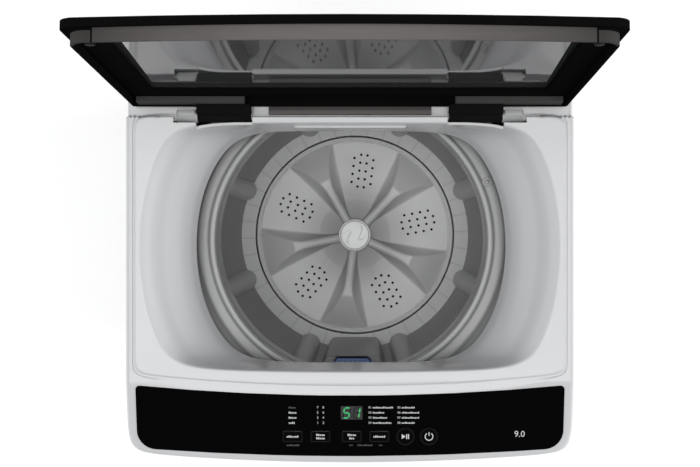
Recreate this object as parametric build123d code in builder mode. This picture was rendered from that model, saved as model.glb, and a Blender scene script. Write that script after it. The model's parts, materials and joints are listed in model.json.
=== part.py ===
from build123d import *
import os
from math import atan2, cos, degrees, hypot, pi, radians, sin, tan

# Top load washing machine, drawn with its lid open. Millimetres, +Z up, the front towards -Y.
# The origin is on the floor, below the axis of the tub.

os.makedirs("parts", exist_ok=True)

# ---------------------------------------------------------------- overall sizes
body_width = 540.0
body_depth = 540.0
rim_height = 885.0
front_bow = 13.0
corner_round = 26.0
cover_height = 40.0
rear_deck_drop = 14.0
rear_housing_reach = 12.0
cabinet_overlap = 5.0
cabinet_bottom = 45.0

# ---------------------------------------------------------------- walls and clearances
cover_wall = 3.0
sheet = 1.2
sheet_gap = 0.3
moving_gap = 0.4
running_fit = 0.05
edge_round = 2.0
cut_over = 1.0

# ---------------------------------------------------------------- tub and basket
basket_depth = 480.0
basket_foot_radius = 183.0
basket_top_radius = 207.0
basket_sheet = 1.2
rib_first_angle = 22.5
rib_end_drop = 60.0
basket_wall_height = 312.0
rib_count = 8
rib_radius = 15.0
rib_stand_out = 12.0
balance_ring_inner = 175.5
balance_ring_height = 40.0
balance_ring_overhang = 6.0
base_height = 33.0
base_floor = 5.0
tub_gap = 14.0
tub_wall = 3.0
tub_floor_drop = 72.0
tub_cover_inner = 175.0
tub_cover_height = 14.0
bounce_down = 12.0
tub_rim_gap = 16.0
tub_flange = 5.0
tub_flange_height = 12.0
seal_height = 22.0

# ---------------------------------------------------------------- pulsator and drive
pulsator_radius = 157.8
pulsator_gap = 3.0
pulsator_arms = 5
arm_first_angle = 47.0
hole_first_angle = 11.2
pulsator_rise = 20.0
pulsator_skin = 4.0
pulsator_skirt = 14.0
pulsator_rim = 8.0
pulsator_drop = 2.0
pulsator_lift = 6.0
cap_seat_drop = 6.0
cap_rise = 1.0
arm_reach = 145.0
arm_foot_width = 77.0
cap_radius = 26.0
wash_shaft_radius = 10.0
spin_shaft_radius = 17.5
gearbox_radius = 62.0
pulley_radius = 75.0
motor_pulley_radius = 25.0
motor_offset = 150.0
motor_height = 110.0
motor_plate = 12.0
gearbox_height = 130.0
pulley_drop = 24.0
shaft_end = 6.0
spin_shaft_end = 10.0
motor_radius = 58.0
belt_width = 12.0
belt_thickness = 4.0
hub_plate = 12.0
plate_thickness = 4.0

# ---------------------------------------------------------------- bowl of the top cover
bowl_half_width = 250.0
bowl_front = 156.0
bowl_rear = 142.0
bowl_corner_reach = 274.0
bowl_points = 48
bowl_clear = 10.0
bowl_sharpness = 12
ridge_width = 8.0
ridge_height = 3.0

# ---------------------------------------------------------------- lid
lid_open_angle = 95.7
hinge_y = 151.0
hinge_drop = 9.6
lid_length = 333.0
lid_half_width = 269.0
lid_plate = 8.6
skirt_half_width = 260.8
skirt_height = 13.4
skirt_wall = 3.6
skirt_front_inset = 6.0
lid_seat_gap = 1.0
lid_corner = 18.0
skirt_corner = 20.0
lid_rear_corner = 4.0
glass_corner = 3.0
barrel_radius = 7.5
hinge_pin_radius = 4.0
barrel_inner = 119.0
barrel_length = 64.0
tab_width = 25.0
glass_half_width = 235.0
glass_near = 46.0
glass_far = 301.0

# ---------------------------------------------------------------- control panel
deck_break = 168.0
deck_slope = 9.5
fascia_half_width = 258.0
fascia_rear = 185.6
fascia_front = 261.0
fascia_plate = 3.0
fascia_proud = 0.6
button_row_y = 236.4
button_width = 23.0
button_depth = 13.0
button_round = 10.7
button_travel = 1.0
button_cap = 4.0
display_x = 2.0
display_y = 207.0
display_width = 26.0
display_depth = 17.0
fascia_bow_share = 0.8
fascia_front_round = 24.0
fascia_rear_round = 5.0
display_round = 1.0
button_rise = 0.4
well_gap = 1.0
well_round = 3.0
key_round = 1.6
lens_recess = 0.2
button_places = {
    "process_button": -69.6,
    "level_button": -35.9,
    "delay_button": 1.9,
    "program_button": 35.3,
}
round_button_places = {"start_button": 66.8, "power_button": 95.4}

# ---------------------------------------------------------------- worked out from the sizes above
half_width = body_width / 2
half_depth = body_depth / 2
floor_z = rim_height - basket_depth
deck_z = rim_height - ridge_height
cover_bottom = rim_height - cover_height
rear_deck_z = rim_height - rear_deck_drop
cover_rear = half_depth - rear_housing_reach
cabinet_half = half_width - cover_wall - sheet_gap
cabinet_front = half_depth - front_bow - cover_wall - sheet_gap
cabinet_rear = cover_rear - cover_wall - sheet_gap
cabinet_top = cover_bottom + cabinet_overlap
hinge_z = rim_height - hinge_drop
skirt_low = hinge_drop + lid_seat_gap
skirt_high = skirt_low + skirt_height
basket_wall_top = floor_z + basket_wall_height
ring_top = basket_wall_top + balance_ring_height
ring_outer = basket_top_radius + basket_sheet + balance_ring_overhang
tub_inner = ring_outer + tub_gap
tub_outer = tub_inner + tub_wall
tub_floor_z = floor_z - tub_floor_drop
tub_top = ring_top + tub_rim_gap
base_bottom = floor_z - base_height
pocket_floor = base_bottom + base_floor
plate_z = tub_floor_z - plate_thickness
gearbox_bottom = plate_z - gearbox_height
pulley_top = gearbox_bottom - pulley_drop
pulley_bottom = pulley_top - belt_width


def bowed_outline(half_x, front, rear, bow, round_front, round_rear, rear_bow=0.0):
    """Plan outline from -front to rear. Its front edge bows forwards, and its rear edge may too."""
    with BuildSketch() as outline:
        with BuildLine():
            ThreePointArc((-half_x, -front + bow), (0, -front), (half_x, -front + bow))
            Line((half_x, -front + bow), (half_x, rear + rear_bow))
            if rear_bow:
                ThreePointArc((half_x, rear + rear_bow), (0, rear), (-half_x, rear + rear_bow))
            else:
                Line((half_x, rear), (-half_x, rear))
            Line((-half_x, rear + rear_bow), (-half_x, -front + bow))
        make_face()
        fillet(outline.vertices().sort_by(Axis.Y)[:2], round_front)
        fillet(outline.vertices().sort_by(Axis.Y)[-2:], round_rear)
    return outline.sketch


def soft_box_point(angle, reach, half_x, half_y, sharpness=bowl_sharpness):
    """Point on a box whose corners are cut back smoothly to a circle of radius reach."""
    walls = (abs(cos(angle)) / half_x) ** sharpness + (abs(sin(angle)) / half_y) ** sharpness
    distance = (reach ** -sharpness + walls) ** (-1 / sharpness)
    return distance * cos(angle), distance * sin(angle)


def bowl_section(depth, reach, half_x, grow, centre_y, half_y):
    """Sketch one level of the bowl at the given depth below the rim."""
    with BuildSketch(Plane.XY.offset(rim_height - depth)) as level:
        with BuildLine():
            points = []
            for step in range(bowl_points):
                angle = 2 * pi * step / bowl_points
                x, y = soft_box_point(angle, reach + grow, half_x + grow, half_y + grow)
                points.append((x, y + centre_y))
            Spline(*points, periodic=True)
        make_face()
    return level.sketch


bowl_centre = (bowl_rear - bowl_front) / 2
bowl_half_y = (bowl_rear + bowl_front) / 2
# Each row: depth below the rim, then how far the corner, side and end walls have come in.
bowl_steps = [
    [0.0, 0.0, 0.0, 0.0],
    [8.0, 7.0, 4.0, 1.5],
    [45.0, 32.0, 17.0, 2.5],
    [68.0, 55.0, 30.0, 3.5],
    [80.0, 73.0, 38.0, 4.0],
]
bowl_levels = []
for bowl_step_depth, corner_in, side_in, end_in in bowl_steps:
    corner = bowl_corner_reach - corner_in
    bowl_levels.append((bowl_step_depth, corner, bowl_half_width - side_in, bowl_half_y - end_in))
bowl_depth = bowl_levels[-1][0]


def bowl_solid(grow, above, below):
    """The space inside the bowl, grown outwards and carried on above the rim and below the lip."""
    with BuildPart() as solid:
        rows = bowl_levels
        levels = []
        for level_depth, reach, half_x, half_y in rows:
            levels.append(bowl_section(level_depth, reach, half_x, grow, bowl_centre, half_y))
        loft(levels)
        if above:
            extrude(bowl_section(0, *rows[0][1:3], grow, bowl_centre, rows[0][3]), above)
        if below:
            lowest = bowl_section(bowl_depth, *rows[-1][1:3], grow, bowl_centre, rows[-1][3])
            extrude(lowest, -below)
    return solid.part


def tilted_plane(y, z, angle):
    """Plane tilted about X so that it falls towards the front by the given angle."""
    slope = radians(angle)
    return Plane(origin=(0, y, z), x_dir=(1, 0, 0), z_dir=(0, -sin(slope), cos(slope)))


deck_plane = tilted_plane(-deck_break, deck_z, deck_slope)
deck_stretch = 1 / cos(radians(deck_slope))


def on_deck(y):
    """Distance along the sloping deck, from its break, of the place with front distance y."""
    return -(y - deck_break) * deck_stretch


lid_lean = radians(lid_open_angle)
lid_plane = Plane(
    origin=(0, hinge_y, hinge_z),
    x_dir=(1, 0, 0),
    z_dir=(0, sin(lid_lean), cos(lid_lean)),
)

# ================================================================ top cover
deck_front_z = deck_z - (half_depth - deck_break) * tan(radians(deck_slope))


def cover_profile(inset):
    """Side profile of the cover, inset evenly from its outside."""
    front_z = deck_front_z - inset
    with BuildSketch(Plane.YZ.offset(-half_width + inset)) as side:
        with BuildLine():
            Polyline(
                (cover_rear - inset, cover_bottom - inset),
                (cover_rear - inset, rear_deck_z - inset),
                (hinge_y - inset, rear_deck_z - inset),
                (hinge_y - inset, deck_z - inset),
                (-deck_break, deck_z - inset),
                (-half_depth + inset, front_z),
                (-half_depth + inset, cover_bottom - inset),
                close=True,
            )
        make_face()
    return side.sketch


with BuildPart() as cover_space:
    extrude(cover_profile(cover_wall), body_width - 2 * cover_wall)
    with BuildSketch(Plane.XY.offset(cover_bottom - 2 * cover_wall)):
        add(bowed_outline(
            half_width - cover_wall,
            half_depth - cover_wall,
            cover_rear - cover_wall,
            front_bow,
            corner_round - cover_wall,
            corner_round - cover_wall,
        ))
    extrude(amount=rim_height - cover_bottom + 2 * cover_wall, mode=Mode.INTERSECT)

pocket_end_gap = 2.0
pocket_shoulder = 6.0
pocket_under_gap = 1.0
pocket_side_gap = 1.3
pocket_shift = 0.4
notch_drop = 2.0
notch_depth = 40.0
pocket_x = barrel_inner - pocket_end_gap
pocket_length = barrel_length + tab_width + pocket_shoulder
pocket_floor_z = hinge_z - barrel_radius - cover_wall - pocket_under_gap
pocket_width = 2 * (barrel_radius + pocket_side_gap)
notch_floor_z = hinge_z - notch_drop
pocket_centre = pocket_x + pocket_length / 2
pocket_y = hinge_y + pocket_shift

drawer_half_width = 68.0
drawer_top_depth = 22.0
drawer_height = 44.0
drawer_top = rim_height - drawer_top_depth
drawer_bottom = drawer_top - drawer_height
drawer_gap = 1.0
window_reach = 20.0
window_length = 60.0
recess_clear = 20.0
drawer_middle = (drawer_top + drawer_bottom) / 2

fascia_recess = fascia_plate - fascia_proud

with BuildPart() as top_cover:
    extrude(cover_profile(0), body_width)
    with BuildSketch(Plane.XY.offset(cover_bottom - cover_wall)):
        add(bowed_outline(half_width, half_depth, cover_rear, front_bow, corner_round, corner_round))
    extrude(amount=rim_height - cover_bottom + cover_wall, mode=Mode.INTERSECT)
    add(cover_space.part, mode=Mode.SUBTRACT)
    with BuildSketch(Plane.XY.offset(deck_z - cover_wall)):
        add(bowed_outline(
            bowl_half_width + ridge_width,
            bowl_front + ridge_width + front_bow / 2,
            hinge_y,
            front_bow / 2,
            corner_round,
            corner_round,
        ))
    extrude(amount=ridge_height + cover_wall)
    add(bowl_solid(cover_wall, 0, 0))
    add(bowl_solid(0, bowl_clear, bowl_clear), mode=Mode.SUBTRACT)
    # Pockets that the hinge barrels turn in, and the notches that the lid's arms close through.
    with BuildSketch(Plane.XY.offset(pocket_floor_z)):
        with Locations((-pocket_centre, pocket_y), (pocket_centre, pocket_y)):
            Rectangle(pocket_length + 2 * cover_wall, pocket_width + 2 * cover_wall)
    extrude(amount=rear_deck_z - pocket_floor_z)
    with BuildSketch(Plane.XY.offset(pocket_floor_z + cover_wall)):
        with Locations((-pocket_centre, pocket_y), (pocket_centre, pocket_y)):
            Rectangle(pocket_length, pocket_width)
    extrude(amount=rim_height, mode=Mode.SUBTRACT)
    with BuildSketch(Plane.XY.offset(notch_floor_z)):
        with Locations((-pocket_centre, bowl_rear), (pocket_centre, bowl_rear)):
            Rectangle(pocket_length, notch_depth)
    extrude(amount=rim_height, mode=Mode.SUBTRACT)
    # Window for the detergent drawer in the rear wall of the bowl.
    with BuildSketch(Plane.XZ.offset(-bowl_rear + window_reach)):
        with Locations((0, drawer_middle)):
            Rectangle(2 * (drawer_half_width + drawer_gap), drawer_height + 2 * drawer_gap)
    extrude(amount=-window_length, mode=Mode.SUBTRACT)
    # Recess for the control fascia, with openings for the buttons and the display.
    with BuildSketch(deck_plane.offset(-fascia_recess)):
        add(bowed_outline(
            fascia_half_width + moving_gap,
            -on_deck(fascia_front + moving_gap),
            0,
            front_bow * fascia_bow_share,
            fascia_front_round,
            fascia_rear_round,
        ))
    extrude(amount=recess_clear, mode=Mode.SUBTRACT)
    with BuildSketch(deck_plane.offset(-fascia_recess + cut_over)):
        for place in button_places.values():
            with Locations((place, on_deck(button_row_y))):
                RectangleRounded(button_width + 2 * well_gap, button_depth + 2 * well_gap, well_round)
        for place in round_button_places.values():
            with Locations((place, on_deck(button_row_y))):
                Circle(button_round + well_gap)
        with Locations((display_x, on_deck(display_y))):
            RectangleRounded(display_width, display_depth, display_round)
    extrude(amount=-recess_clear, mode=Mode.SUBTRACT)
top_cover.part.label = "top_cover"
export_step(top_cover.part, "parts/top_cover.step")

# ================================================================ cabinet
cabinet_depth = cabinet_front + cabinet_rear
cabinet_middle = (cabinet_rear - cabinet_front) / 2
rear_flange = 18.0
valve_x = 150.0
valve_spacing = 48.0
valve_drop = 34.0
valve_z = cover_bottom - valve_drop
nozzle_radius = 13.2
nozzle_length = 12.0
drain_x = -170.0
drain_z = 96.0
drain_radius = 15.0
rear_screw_columns = 2 * (cabinet_half - corner_round - rear_flange / 2)
rear_screw_rows = [120.0, 330.0, 560.0, 790.0]
screw_radius = 2.0
rear_cut = 6.4
screw_head = 2.0
nozzle_clearance = 3.0
drain_clearance = 1.0
panel_press_rows = [250.0, 520.0]
panel_press_width = 300.0
panel_press_height = 190.0
panel_press_band = 12.0
panel_press_round = 20.0
rear_sheet_y = cabinet_rear - sheet
rear_inner_y = rear_sheet_y - sheet

with BuildPart() as cabinet_shell:
    with BuildSketch(Plane.XY.offset(cabinet_bottom)):
        with Locations((0, cabinet_middle)):
            RectangleRounded(2 * cabinet_half, cabinet_depth, corner_round - cover_wall)
            RectangleRounded(
                2 * (cabinet_half - sheet),
                cabinet_depth - 2 * sheet,
                corner_round - cover_wall - sheet,
                mode=Mode.SUBTRACT,
            )
        with Locations((0, cabinet_rear)):
            Rectangle(2 * (cabinet_half - corner_round - rear_flange), rear_cut, mode=Mode.SUBTRACT)
    extrude(amount=cabinet_top - cabinet_bottom)
    with BuildSketch(Plane.XZ.offset(-cabinet_rear)):
        for row in rear_screw_rows:
            with Locations((-rear_screw_columns / 2, row), (rear_screw_columns / 2, row)):
                Circle(screw_radius)
    extrude(amount=2 * sheet, mode=Mode.SUBTRACT)
cabinet_shell.part.label = "cabinet_shell"
export_step(cabinet_shell.part, "parts/cabinet_shell.step")

with BuildPart() as rear_panel:
    with BuildSketch(Plane.XZ.offset(-rear_sheet_y)):
        with Locations((0, (cabinet_bottom + cabinet_top) / 2)):
            Rectangle(2 * (cabinet_half - corner_round), cabinet_top - cabinet_bottom)
        with Locations((valve_x, valve_z), (valve_x + valve_spacing, valve_z)):
            Circle(nozzle_radius + nozzle_clearance, mode=Mode.SUBTRACT)
        with Locations((drain_x, drain_z)):
            Circle(drain_radius + drain_clearance, mode=Mode.SUBTRACT)
        for row in rear_screw_rows:
            with Locations((-rear_screw_columns / 2, row), (rear_screw_columns / 2, row)):
                Circle(screw_radius, mode=Mode.SUBTRACT)
    extrude(amount=sheet)
    # Pressed panels stiffen the sheet.
    with BuildSketch(Plane.XZ.offset(-rear_sheet_y)):
        for row in panel_press_rows:
            with Locations((0, row)):
                RectangleRounded(panel_press_width, panel_press_height, panel_press_round)
                RectangleRounded(
                    panel_press_width - 2 * panel_press_band,
                    panel_press_height - 2 * panel_press_band,
                    panel_press_round / 2,
                    mode=Mode.SUBTRACT,
                )
    extrude(amount=-2 * sheet)
rear_panel.part.label = "rear_panel"
export_step(rear_panel.part, "parts/rear_panel.step")

with BuildPart() as screws:
    for row in rear_screw_rows:
        for side in (-1, 1):
            with BuildSketch(Plane.XZ.offset(-cabinet_rear)):
                with Locations((side * rear_screw_columns / 2, row)):
                    Circle(2 * screw_radius)
            extrude(amount=-screw_head)
            with BuildSketch(Plane.XZ.offset(-cabinet_rear)):
                with Locations((side * rear_screw_columns / 2, row)):
                    Circle(screw_radius)
            extrude(amount=2 * sheet)
screws.part.label = "rear_screws"
export_step(screws.part, "parts/rear_screws.step")

# ================================================================ base frame and feet
base_low = 14.0
base_inner = 46.0
base_lip = 22.0
base_corner = 60.0
foot_inset = 34.0
foot_x = cabinet_half - foot_inset
foot_front = cabinet_front - foot_inset
foot_rear = cabinet_rear - foot_inset
foot_radius = 20.0
foot_height = 9.0
foot_hex = 9.0
foot_chamfer = 1.5
nut_hex = 10.0
hex_sides = 6
stud_rise = 12.0
stud_radius = 5.0
foot_places = {
    "foot_front_left": (-foot_x, -foot_front),
    "foot_front_right": (foot_x, -foot_front),
    "foot_rear_left": (-foot_x, foot_rear),
    "foot_rear_right": (foot_x, foot_rear),
}
nut_height = 5.0
stud_top = cabinet_bottom + stud_rise

with BuildPart() as base_frame:
    with BuildSketch(Plane.XY.offset(base_low + nut_height)):
        with Locations((0, cabinet_middle)):
            RectangleRounded(2 * cabinet_half, cabinet_depth, corner_round - cover_wall)
    extrude(amount=cabinet_bottom - base_low - nut_height)
    with BuildSketch(Plane.XY.offset(cabinet_bottom)):
        with Locations((0, cabinet_middle)):
            inset = 2 * sheet + sheet_gap
            inner_round = corner_round - cover_wall - inset
            RectangleRounded(2 * (cabinet_half - inset), cabinet_depth - 2 * inset, inner_round)
    extrude(amount=base_lip)
    with BuildSketch(Plane.XY):
        with Locations((0, cabinet_middle)):
            RectangleRounded(2 * (cabinet_half - base_inner), cabinet_depth - 2 * base_inner, base_corner)
    extrude(amount=rim_height, mode=Mode.SUBTRACT)
    with BuildSketch(Plane.XY):
        with Locations(*foot_places.values()):
            Circle(stud_radius + moving_gap)
    extrude(amount=rim_height, mode=Mode.SUBTRACT)
base_frame.part.label = "base_frame"
export_step(base_frame.part, "parts/base_frame.step")

for foot_name, (foot_x_place, foot_y_place) in foot_places.items():
    with BuildPart() as foot:
        with BuildSketch():
            with Locations((foot_x_place, foot_y_place)):
                Circle(foot_radius)
        extrude(amount=foot_height)
        chamfer(foot.edges().filter_by(GeomType.CIRCLE), foot_chamfer)
        with BuildSketch(Plane.XY.offset(foot_height)):
            with Locations((foot_x_place, foot_y_place)):
                RegularPolygon(foot_hex, hex_sides)
        extrude(amount=base_low - foot_height - moving_gap)
        with BuildSketch(Plane.XY.offset(foot_height)):
            with Locations((foot_x_place, foot_y_place)):
                Circle(stud_radius)
        extrude(amount=stud_top - foot_height)
    foot.part.label = foot_name
    export_step(foot.part, f"parts/{foot_name}.step")

with BuildPart() as foot_nuts:
    with BuildSketch(Plane.XY.offset(base_low)):
        with Locations(*foot_places.values()):
            RegularPolygon(nut_hex, hex_sides)
            Circle(stud_radius + running_fit, mode=Mode.SUBTRACT)
    extrude(amount=nut_height)
foot_nuts.part.label = "foot_lock_nuts"
export_step(foot_nuts.part, "parts/foot_lock_nuts.step")

# ================================================================ suspension carried by the cabinet
hang_x = 197.0
hang_front = 192.0
hang_rear = 194.0
rod_radius = 4.0
rod_seat_radius = 14.0
bracket_drop = 72.0
bracket_sheet = 3.0
rod_end = 14.0
rod_seat_height = 4.0
rod_cap_radius = 9.0
rod_cap_height = 8.0
rod_cap_taper = 30.0
rod_hole_gap = 1.0
bracket_z = cover_bottom - bracket_drop
bracket_clip = 26.0
bracket_reach = 150.0
rod_top = bracket_z + rod_end
cup_rise = 90.0
cup_top = tub_floor_z + cup_rise
cup_height = 48.0
cup_radius = 21.0
cup_wall = 2.5
seat_gap = 8.0
seat_z = cup_top - cup_height - bounce_down - seat_gap
hang_places = [
    (-hang_x, -hang_front),
    (hang_x, -hang_front),
    (-hang_x, hang_rear),
    (hang_x, hang_rear),
]

with BuildPart() as corner_brackets:
    inner_x = cabinet_half - sheet
    for x, y in hang_places:
        side_x = inner_x if x > 0 else -inner_x
        wall_y = rear_inner_y if y > 0 else -cabinet_front + sheet
        inward_x = -1 if x > 0 else 1
        inward_y = -1 if y > 0 else 1
        with BuildSketch(Plane.XY.offset(bracket_z)):
            with BuildLine():
                Polyline(
                    (side_x, wall_y + inward_y * bracket_clip),
                    (side_x, wall_y + inward_y * bracket_reach),
                    (side_x + inward_x * bracket_reach, wall_y),
                    (side_x + inward_x * bracket_clip, wall_y),
                    close=True,
                )
            make_face()
            with Locations((x, y)):
                Circle(rod_seat_radius)
                Circle(rod_radius + rod_hole_gap, mode=Mode.SUBTRACT)
        extrude(amount=bracket_sheet)
corner_brackets.part.label = "corner_brackets"
export_step(corner_brackets.part, "parts/corner_brackets.step")

with BuildPart() as rods:
    for x, y in hang_places:
        with BuildSketch(Plane.XY.offset(seat_z)):
            with Locations((x, y)):
                Circle(rod_radius)
        extrude(amount=rod_top - seat_z)
        with BuildSketch(Plane.XY.offset(seat_z)):
            with Locations((x, y)):
                Circle(rod_seat_radius)
        extrude(amount=rod_seat_height)
        with BuildSketch(Plane.XY.offset(bracket_z + bracket_sheet)):
            with Locations((x, y)):
                Circle(rod_cap_radius)
        extrude(amount=rod_cap_height, taper=rod_cap_taper)
rods.part.label = "suspension_rods"
export_step(rods.part, "parts/suspension_rods.step")

spring_radius = 11.0
spring_wire = 1.6
spring_low = seat_z + rod_seat_height + spring_wire
spring_high = cup_top - cup_wall - spring_wire
spring_turns = 7

with BuildPart() as springs:
    for x, y in hang_places:
        with BuildLine(Plane(origin=(x, y, spring_low))) as coil:
            Helix((spring_high - spring_low) / spring_turns, spring_high - spring_low, spring_radius)
        with BuildSketch(Plane(origin=coil.line @ 0, z_dir=coil.line % 0)):
            Circle(spring_wire)
        sweep(path=coil.line, is_frenet=True)
springs.part.label = "suspension_springs"
export_step(springs.part, "parts/suspension_springs.step")

# ================================================================ outer tub
seal_radius = 30.0
sump_x = -120.0
sump_y = 110.0
sump_radius = 24.0
sump_lip = 8.0
tub_floor_thickness = 6.0
seal_boss = 14.0

with BuildPart() as outer_tub:
    with BuildSketch(Plane.XZ):
        with BuildLine():
            Polyline(
                (seal_radius, tub_floor_z),
                (tub_outer, tub_floor_z),
                (tub_outer, tub_top - tub_flange_height),
                (tub_outer + tub_flange, tub_top - tub_flange_height),
                (tub_outer + tub_flange, tub_top),
                (tub_inner, tub_top),
                (tub_inner, tub_floor_z + tub_floor_thickness),
                (seal_radius + seal_boss, tub_floor_z + tub_floor_thickness),
                (seal_radius + seal_boss, tub_floor_z + seal_height),
                (seal_radius, tub_floor_z + seal_height),
                close=True,
            )
        make_face()
    revolve(axis=Axis.Z)
    with BuildSketch(Plane.XY.offset(tub_floor_z)):
        with Locations((sump_x, sump_y)):
            Circle(sump_radius - sump_lip)
    extrude(amount=seal_height, mode=Mode.SUBTRACT)
outer_tub.part.label = "outer_tub"
export_step(outer_tub.part, "parts/outer_tub.step")

cup_arm_width = 26.0
cup_rod_gap = 1.5
with BuildPart() as suspension_cups:
    for x, y in hang_places:
        turn = degrees(atan2(y, x))
        reach = hypot(x, y)
        with BuildSketch(Plane.XY.offset(cup_top - cup_height)):
            with Locations((x, y)):
                Circle(cup_radius)
            with Locations(Location((x, y), turn)):
                with Locations((-(reach - tub_inner) / 2, 0)):
                    Rectangle(reach - tub_inner, cup_arm_width)
            with Locations((x, y)):
                Circle(cup_radius - cup_wall, mode=Mode.SUBTRACT)
            Circle(tub_outer, mode=Mode.SUBTRACT)
        extrude(amount=cup_height - cup_wall)
        with BuildSketch(Plane.XY.offset(cup_top - cup_wall)):
            with Locations((x, y)):
                Circle(cup_radius)
            with Locations(Location((x, y), turn)):
                with Locations((-(reach - tub_inner) / 2, 0)):
                    Rectangle(reach - tub_inner, cup_arm_width)
            Circle(tub_outer, mode=Mode.SUBTRACT)
            with Locations((x, y)):
                Circle(rod_radius + cup_rod_gap, mode=Mode.SUBTRACT)
        extrude(amount=cup_wall)
suspension_cups.part.label = "suspension_cups"
export_step(suspension_cups.part, "parts/suspension_cups.step")

# The tub's cover: a thin flange, a raised ridge, a slope and a bead round the opening.
cover_flange = 3.0
ridge_step = 8.0
ridge_start = tub_inner - ridge_step
slope_width = 28.0
slope_low = 7.0
bead_width = 8.0
bead_height = 8.0
bead_root = 5.0
bead_lead = 4.0
bead_under = 1.0

with BuildPart() as tub_cover:
    with BuildSketch(Plane.XZ):
        with BuildLine():
            Polyline(
                (tub_cover_inner, tub_top + bead_under),
                (tub_cover_inner + bead_lead, tub_top),
                (tub_outer + tub_flange, tub_top),
                (tub_outer + tub_flange, tub_top + cover_flange),
                (ridge_start, tub_top + cover_flange),
                (ridge_start - ridge_step, tub_top + tub_cover_height),
                (ridge_start - 2 * ridge_step, tub_top + tub_cover_height),
                (ridge_start - slope_width, tub_top + slope_low),
                (tub_cover_inner + bead_width, tub_top + bead_root),
                (tub_cover_inner, tub_top + bead_height),
                close=True,
            )
        make_face()
    revolve(axis=Axis.Z)
tub_cover.part.label = "tub_cover"
export_step(tub_cover.part, "parts/tub_cover.step")

with BuildPart() as tub_seal:
    with BuildSketch(Plane.XY.offset(tub_floor_z)):
        Circle(seal_radius)
        Circle(spin_shaft_radius + sheet_gap, mode=Mode.SUBTRACT)
    extrude(amount=seal_height)
tub_seal.part.label = "tub_seal"
export_step(tub_seal.part, "parts/tub_seal.step")

# ================================================================ drive below the tub
drive_plate_width = 150.0
drive_plate_round = 30.0
sump_clearance = 4.0
gearbox_flange = 10.0
gearbox_step = 8.0
gearbox_cone = 30.0
nose_radius = 40.0
nose_tip_radius = 28.0
nose_height = 12.0
motor_round = 6.0

with BuildPart() as drive_plate:
    with BuildSketch(Plane.XY.offset(plate_z)):
        with Locations((0, motor_offset / 2)):
            RectangleRounded(drive_plate_width, motor_offset + drive_plate_width, drive_plate_round)
        Circle(seal_radius, mode=Mode.SUBTRACT)
        with Locations((sump_x, sump_y)):
            Circle(sump_radius + sump_clearance, mode=Mode.SUBTRACT)
    extrude(amount=plate_thickness)
drive_plate.part.label = "drive_plate"
export_step(drive_plate.part, "parts/drive_plate.step")

with BuildPart() as gearbox:
    with BuildSketch(Plane.XZ):
        with BuildLine():
            Polyline(
                (spin_shaft_radius + running_fit, plate_z),
                (gearbox_radius, plate_z),
                (gearbox_radius, plate_z - gearbox_flange),
                (gearbox_radius - gearbox_step, plate_z - gearbox_flange - gearbox_step / 2),
                (gearbox_radius - gearbox_step, gearbox_bottom + gearbox_cone),
                (nose_radius, gearbox_bottom + nose_height),
                (nose_tip_radius, gearbox_bottom),
                (spin_shaft_radius + running_fit, gearbox_bottom),
                close=True,
            )
        make_face()
    revolve(axis=Axis.Z)
gearbox.part.label = "gearbox"
export_step(gearbox.part, "parts/gearbox.step")

motor_top = plate_z
motor_bottom = plate_z - motor_height
motor_shaft_radius = 7.0
with BuildPart() as motor:
    with BuildSketch(Plane.XY.offset(motor_bottom)):
        with Locations((0, motor_offset)):
            Circle(motor_radius)
            Circle(motor_shaft_radius + running_fit, mode=Mode.SUBTRACT)
    extrude(amount=motor_top - motor_bottom)
    with BuildSketch(Plane.XY.offset(motor_top - motor_plate)):
        with Locations((0, motor_offset)):
            Circle(motor_radius)
    extrude(amount=motor_plate)
    low_edges = motor.edges().filter_by(GeomType.CIRCLE).group_by(Axis.Z)[0]
    fillet(low_edges.sort_by(SortBy.RADIUS)[-1:], motor_round)
motor.part.label = "drive_motor"
export_step(motor.part, "parts/drive_motor.step")

with BuildPart() as rotor:
    with BuildSketch(Plane.XY.offset(pulley_bottom)):
        with Locations((0, motor_offset)):
            Circle(motor_shaft_radius)
    extrude(amount=motor_top - motor_plate - moving_gap - pulley_bottom)
    with BuildSketch(Plane.XY.offset(pulley_bottom)):
        with Locations((0, motor_offset)):
            Circle(motor_pulley_radius)
    extrude(amount=belt_width)
rotor.part.label = "motor_rotor"
export_step(rotor.part, "parts/motor_rotor.step")


def belt_outline(grow):
    """Closed path of the belt round both pulleys, grown outwards."""
    big = pulley_radius + grow
    small = motor_pulley_radius + grow
    tilt = atan2(pulley_radius - motor_pulley_radius, motor_offset)
    run_side = [(big * cos(tilt), big * sin(tilt)), (small * cos(tilt), motor_offset + small * sin(tilt))]
    with BuildSketch() as outline:
        with BuildLine():
            Line(run_side[0], run_side[1])
            ThreePointArc(run_side[1], (0, motor_offset + small), (-run_side[1][0], run_side[1][1]))
            Line((-run_side[1][0], run_side[1][1]), (-run_side[0][0], run_side[0][1]))
            ThreePointArc((-run_side[0][0], run_side[0][1]), (0, -big), run_side[0])
        make_face()
    return outline.sketch


with BuildPart() as drive_belt:
    with BuildSketch(Plane.XY.offset(pulley_bottom)):
        add(belt_outline(sheet_gap + belt_thickness))
        add(belt_outline(sheet_gap), mode=Mode.SUBTRACT)
    extrude(amount=belt_width)
drive_belt.part.label = "drive_belt"
export_step(drive_belt.part, "parts/drive_belt.step")

# ================================================================ drain
drain_valve_height = 44.0
drain_valve_axis = 26.0
drain_valve_spout = 60.0
drain_motor_width = 44.0
drain_motor_length = 60.0
drain_motor_height = 40.0
drain_motor_offset = 90.0
drain_motor_round = 6.0
pull_rod_radius = 3.0
pull_rod_drop = 24.0
pull_rod_gap = 6.0
drain_pipe_wall = 2.5
drain_pipe_length = 52.0
drain_pipe_out = 12.0
drain_flange = 8.0
drain_flange_thickness = 3.0

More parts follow.
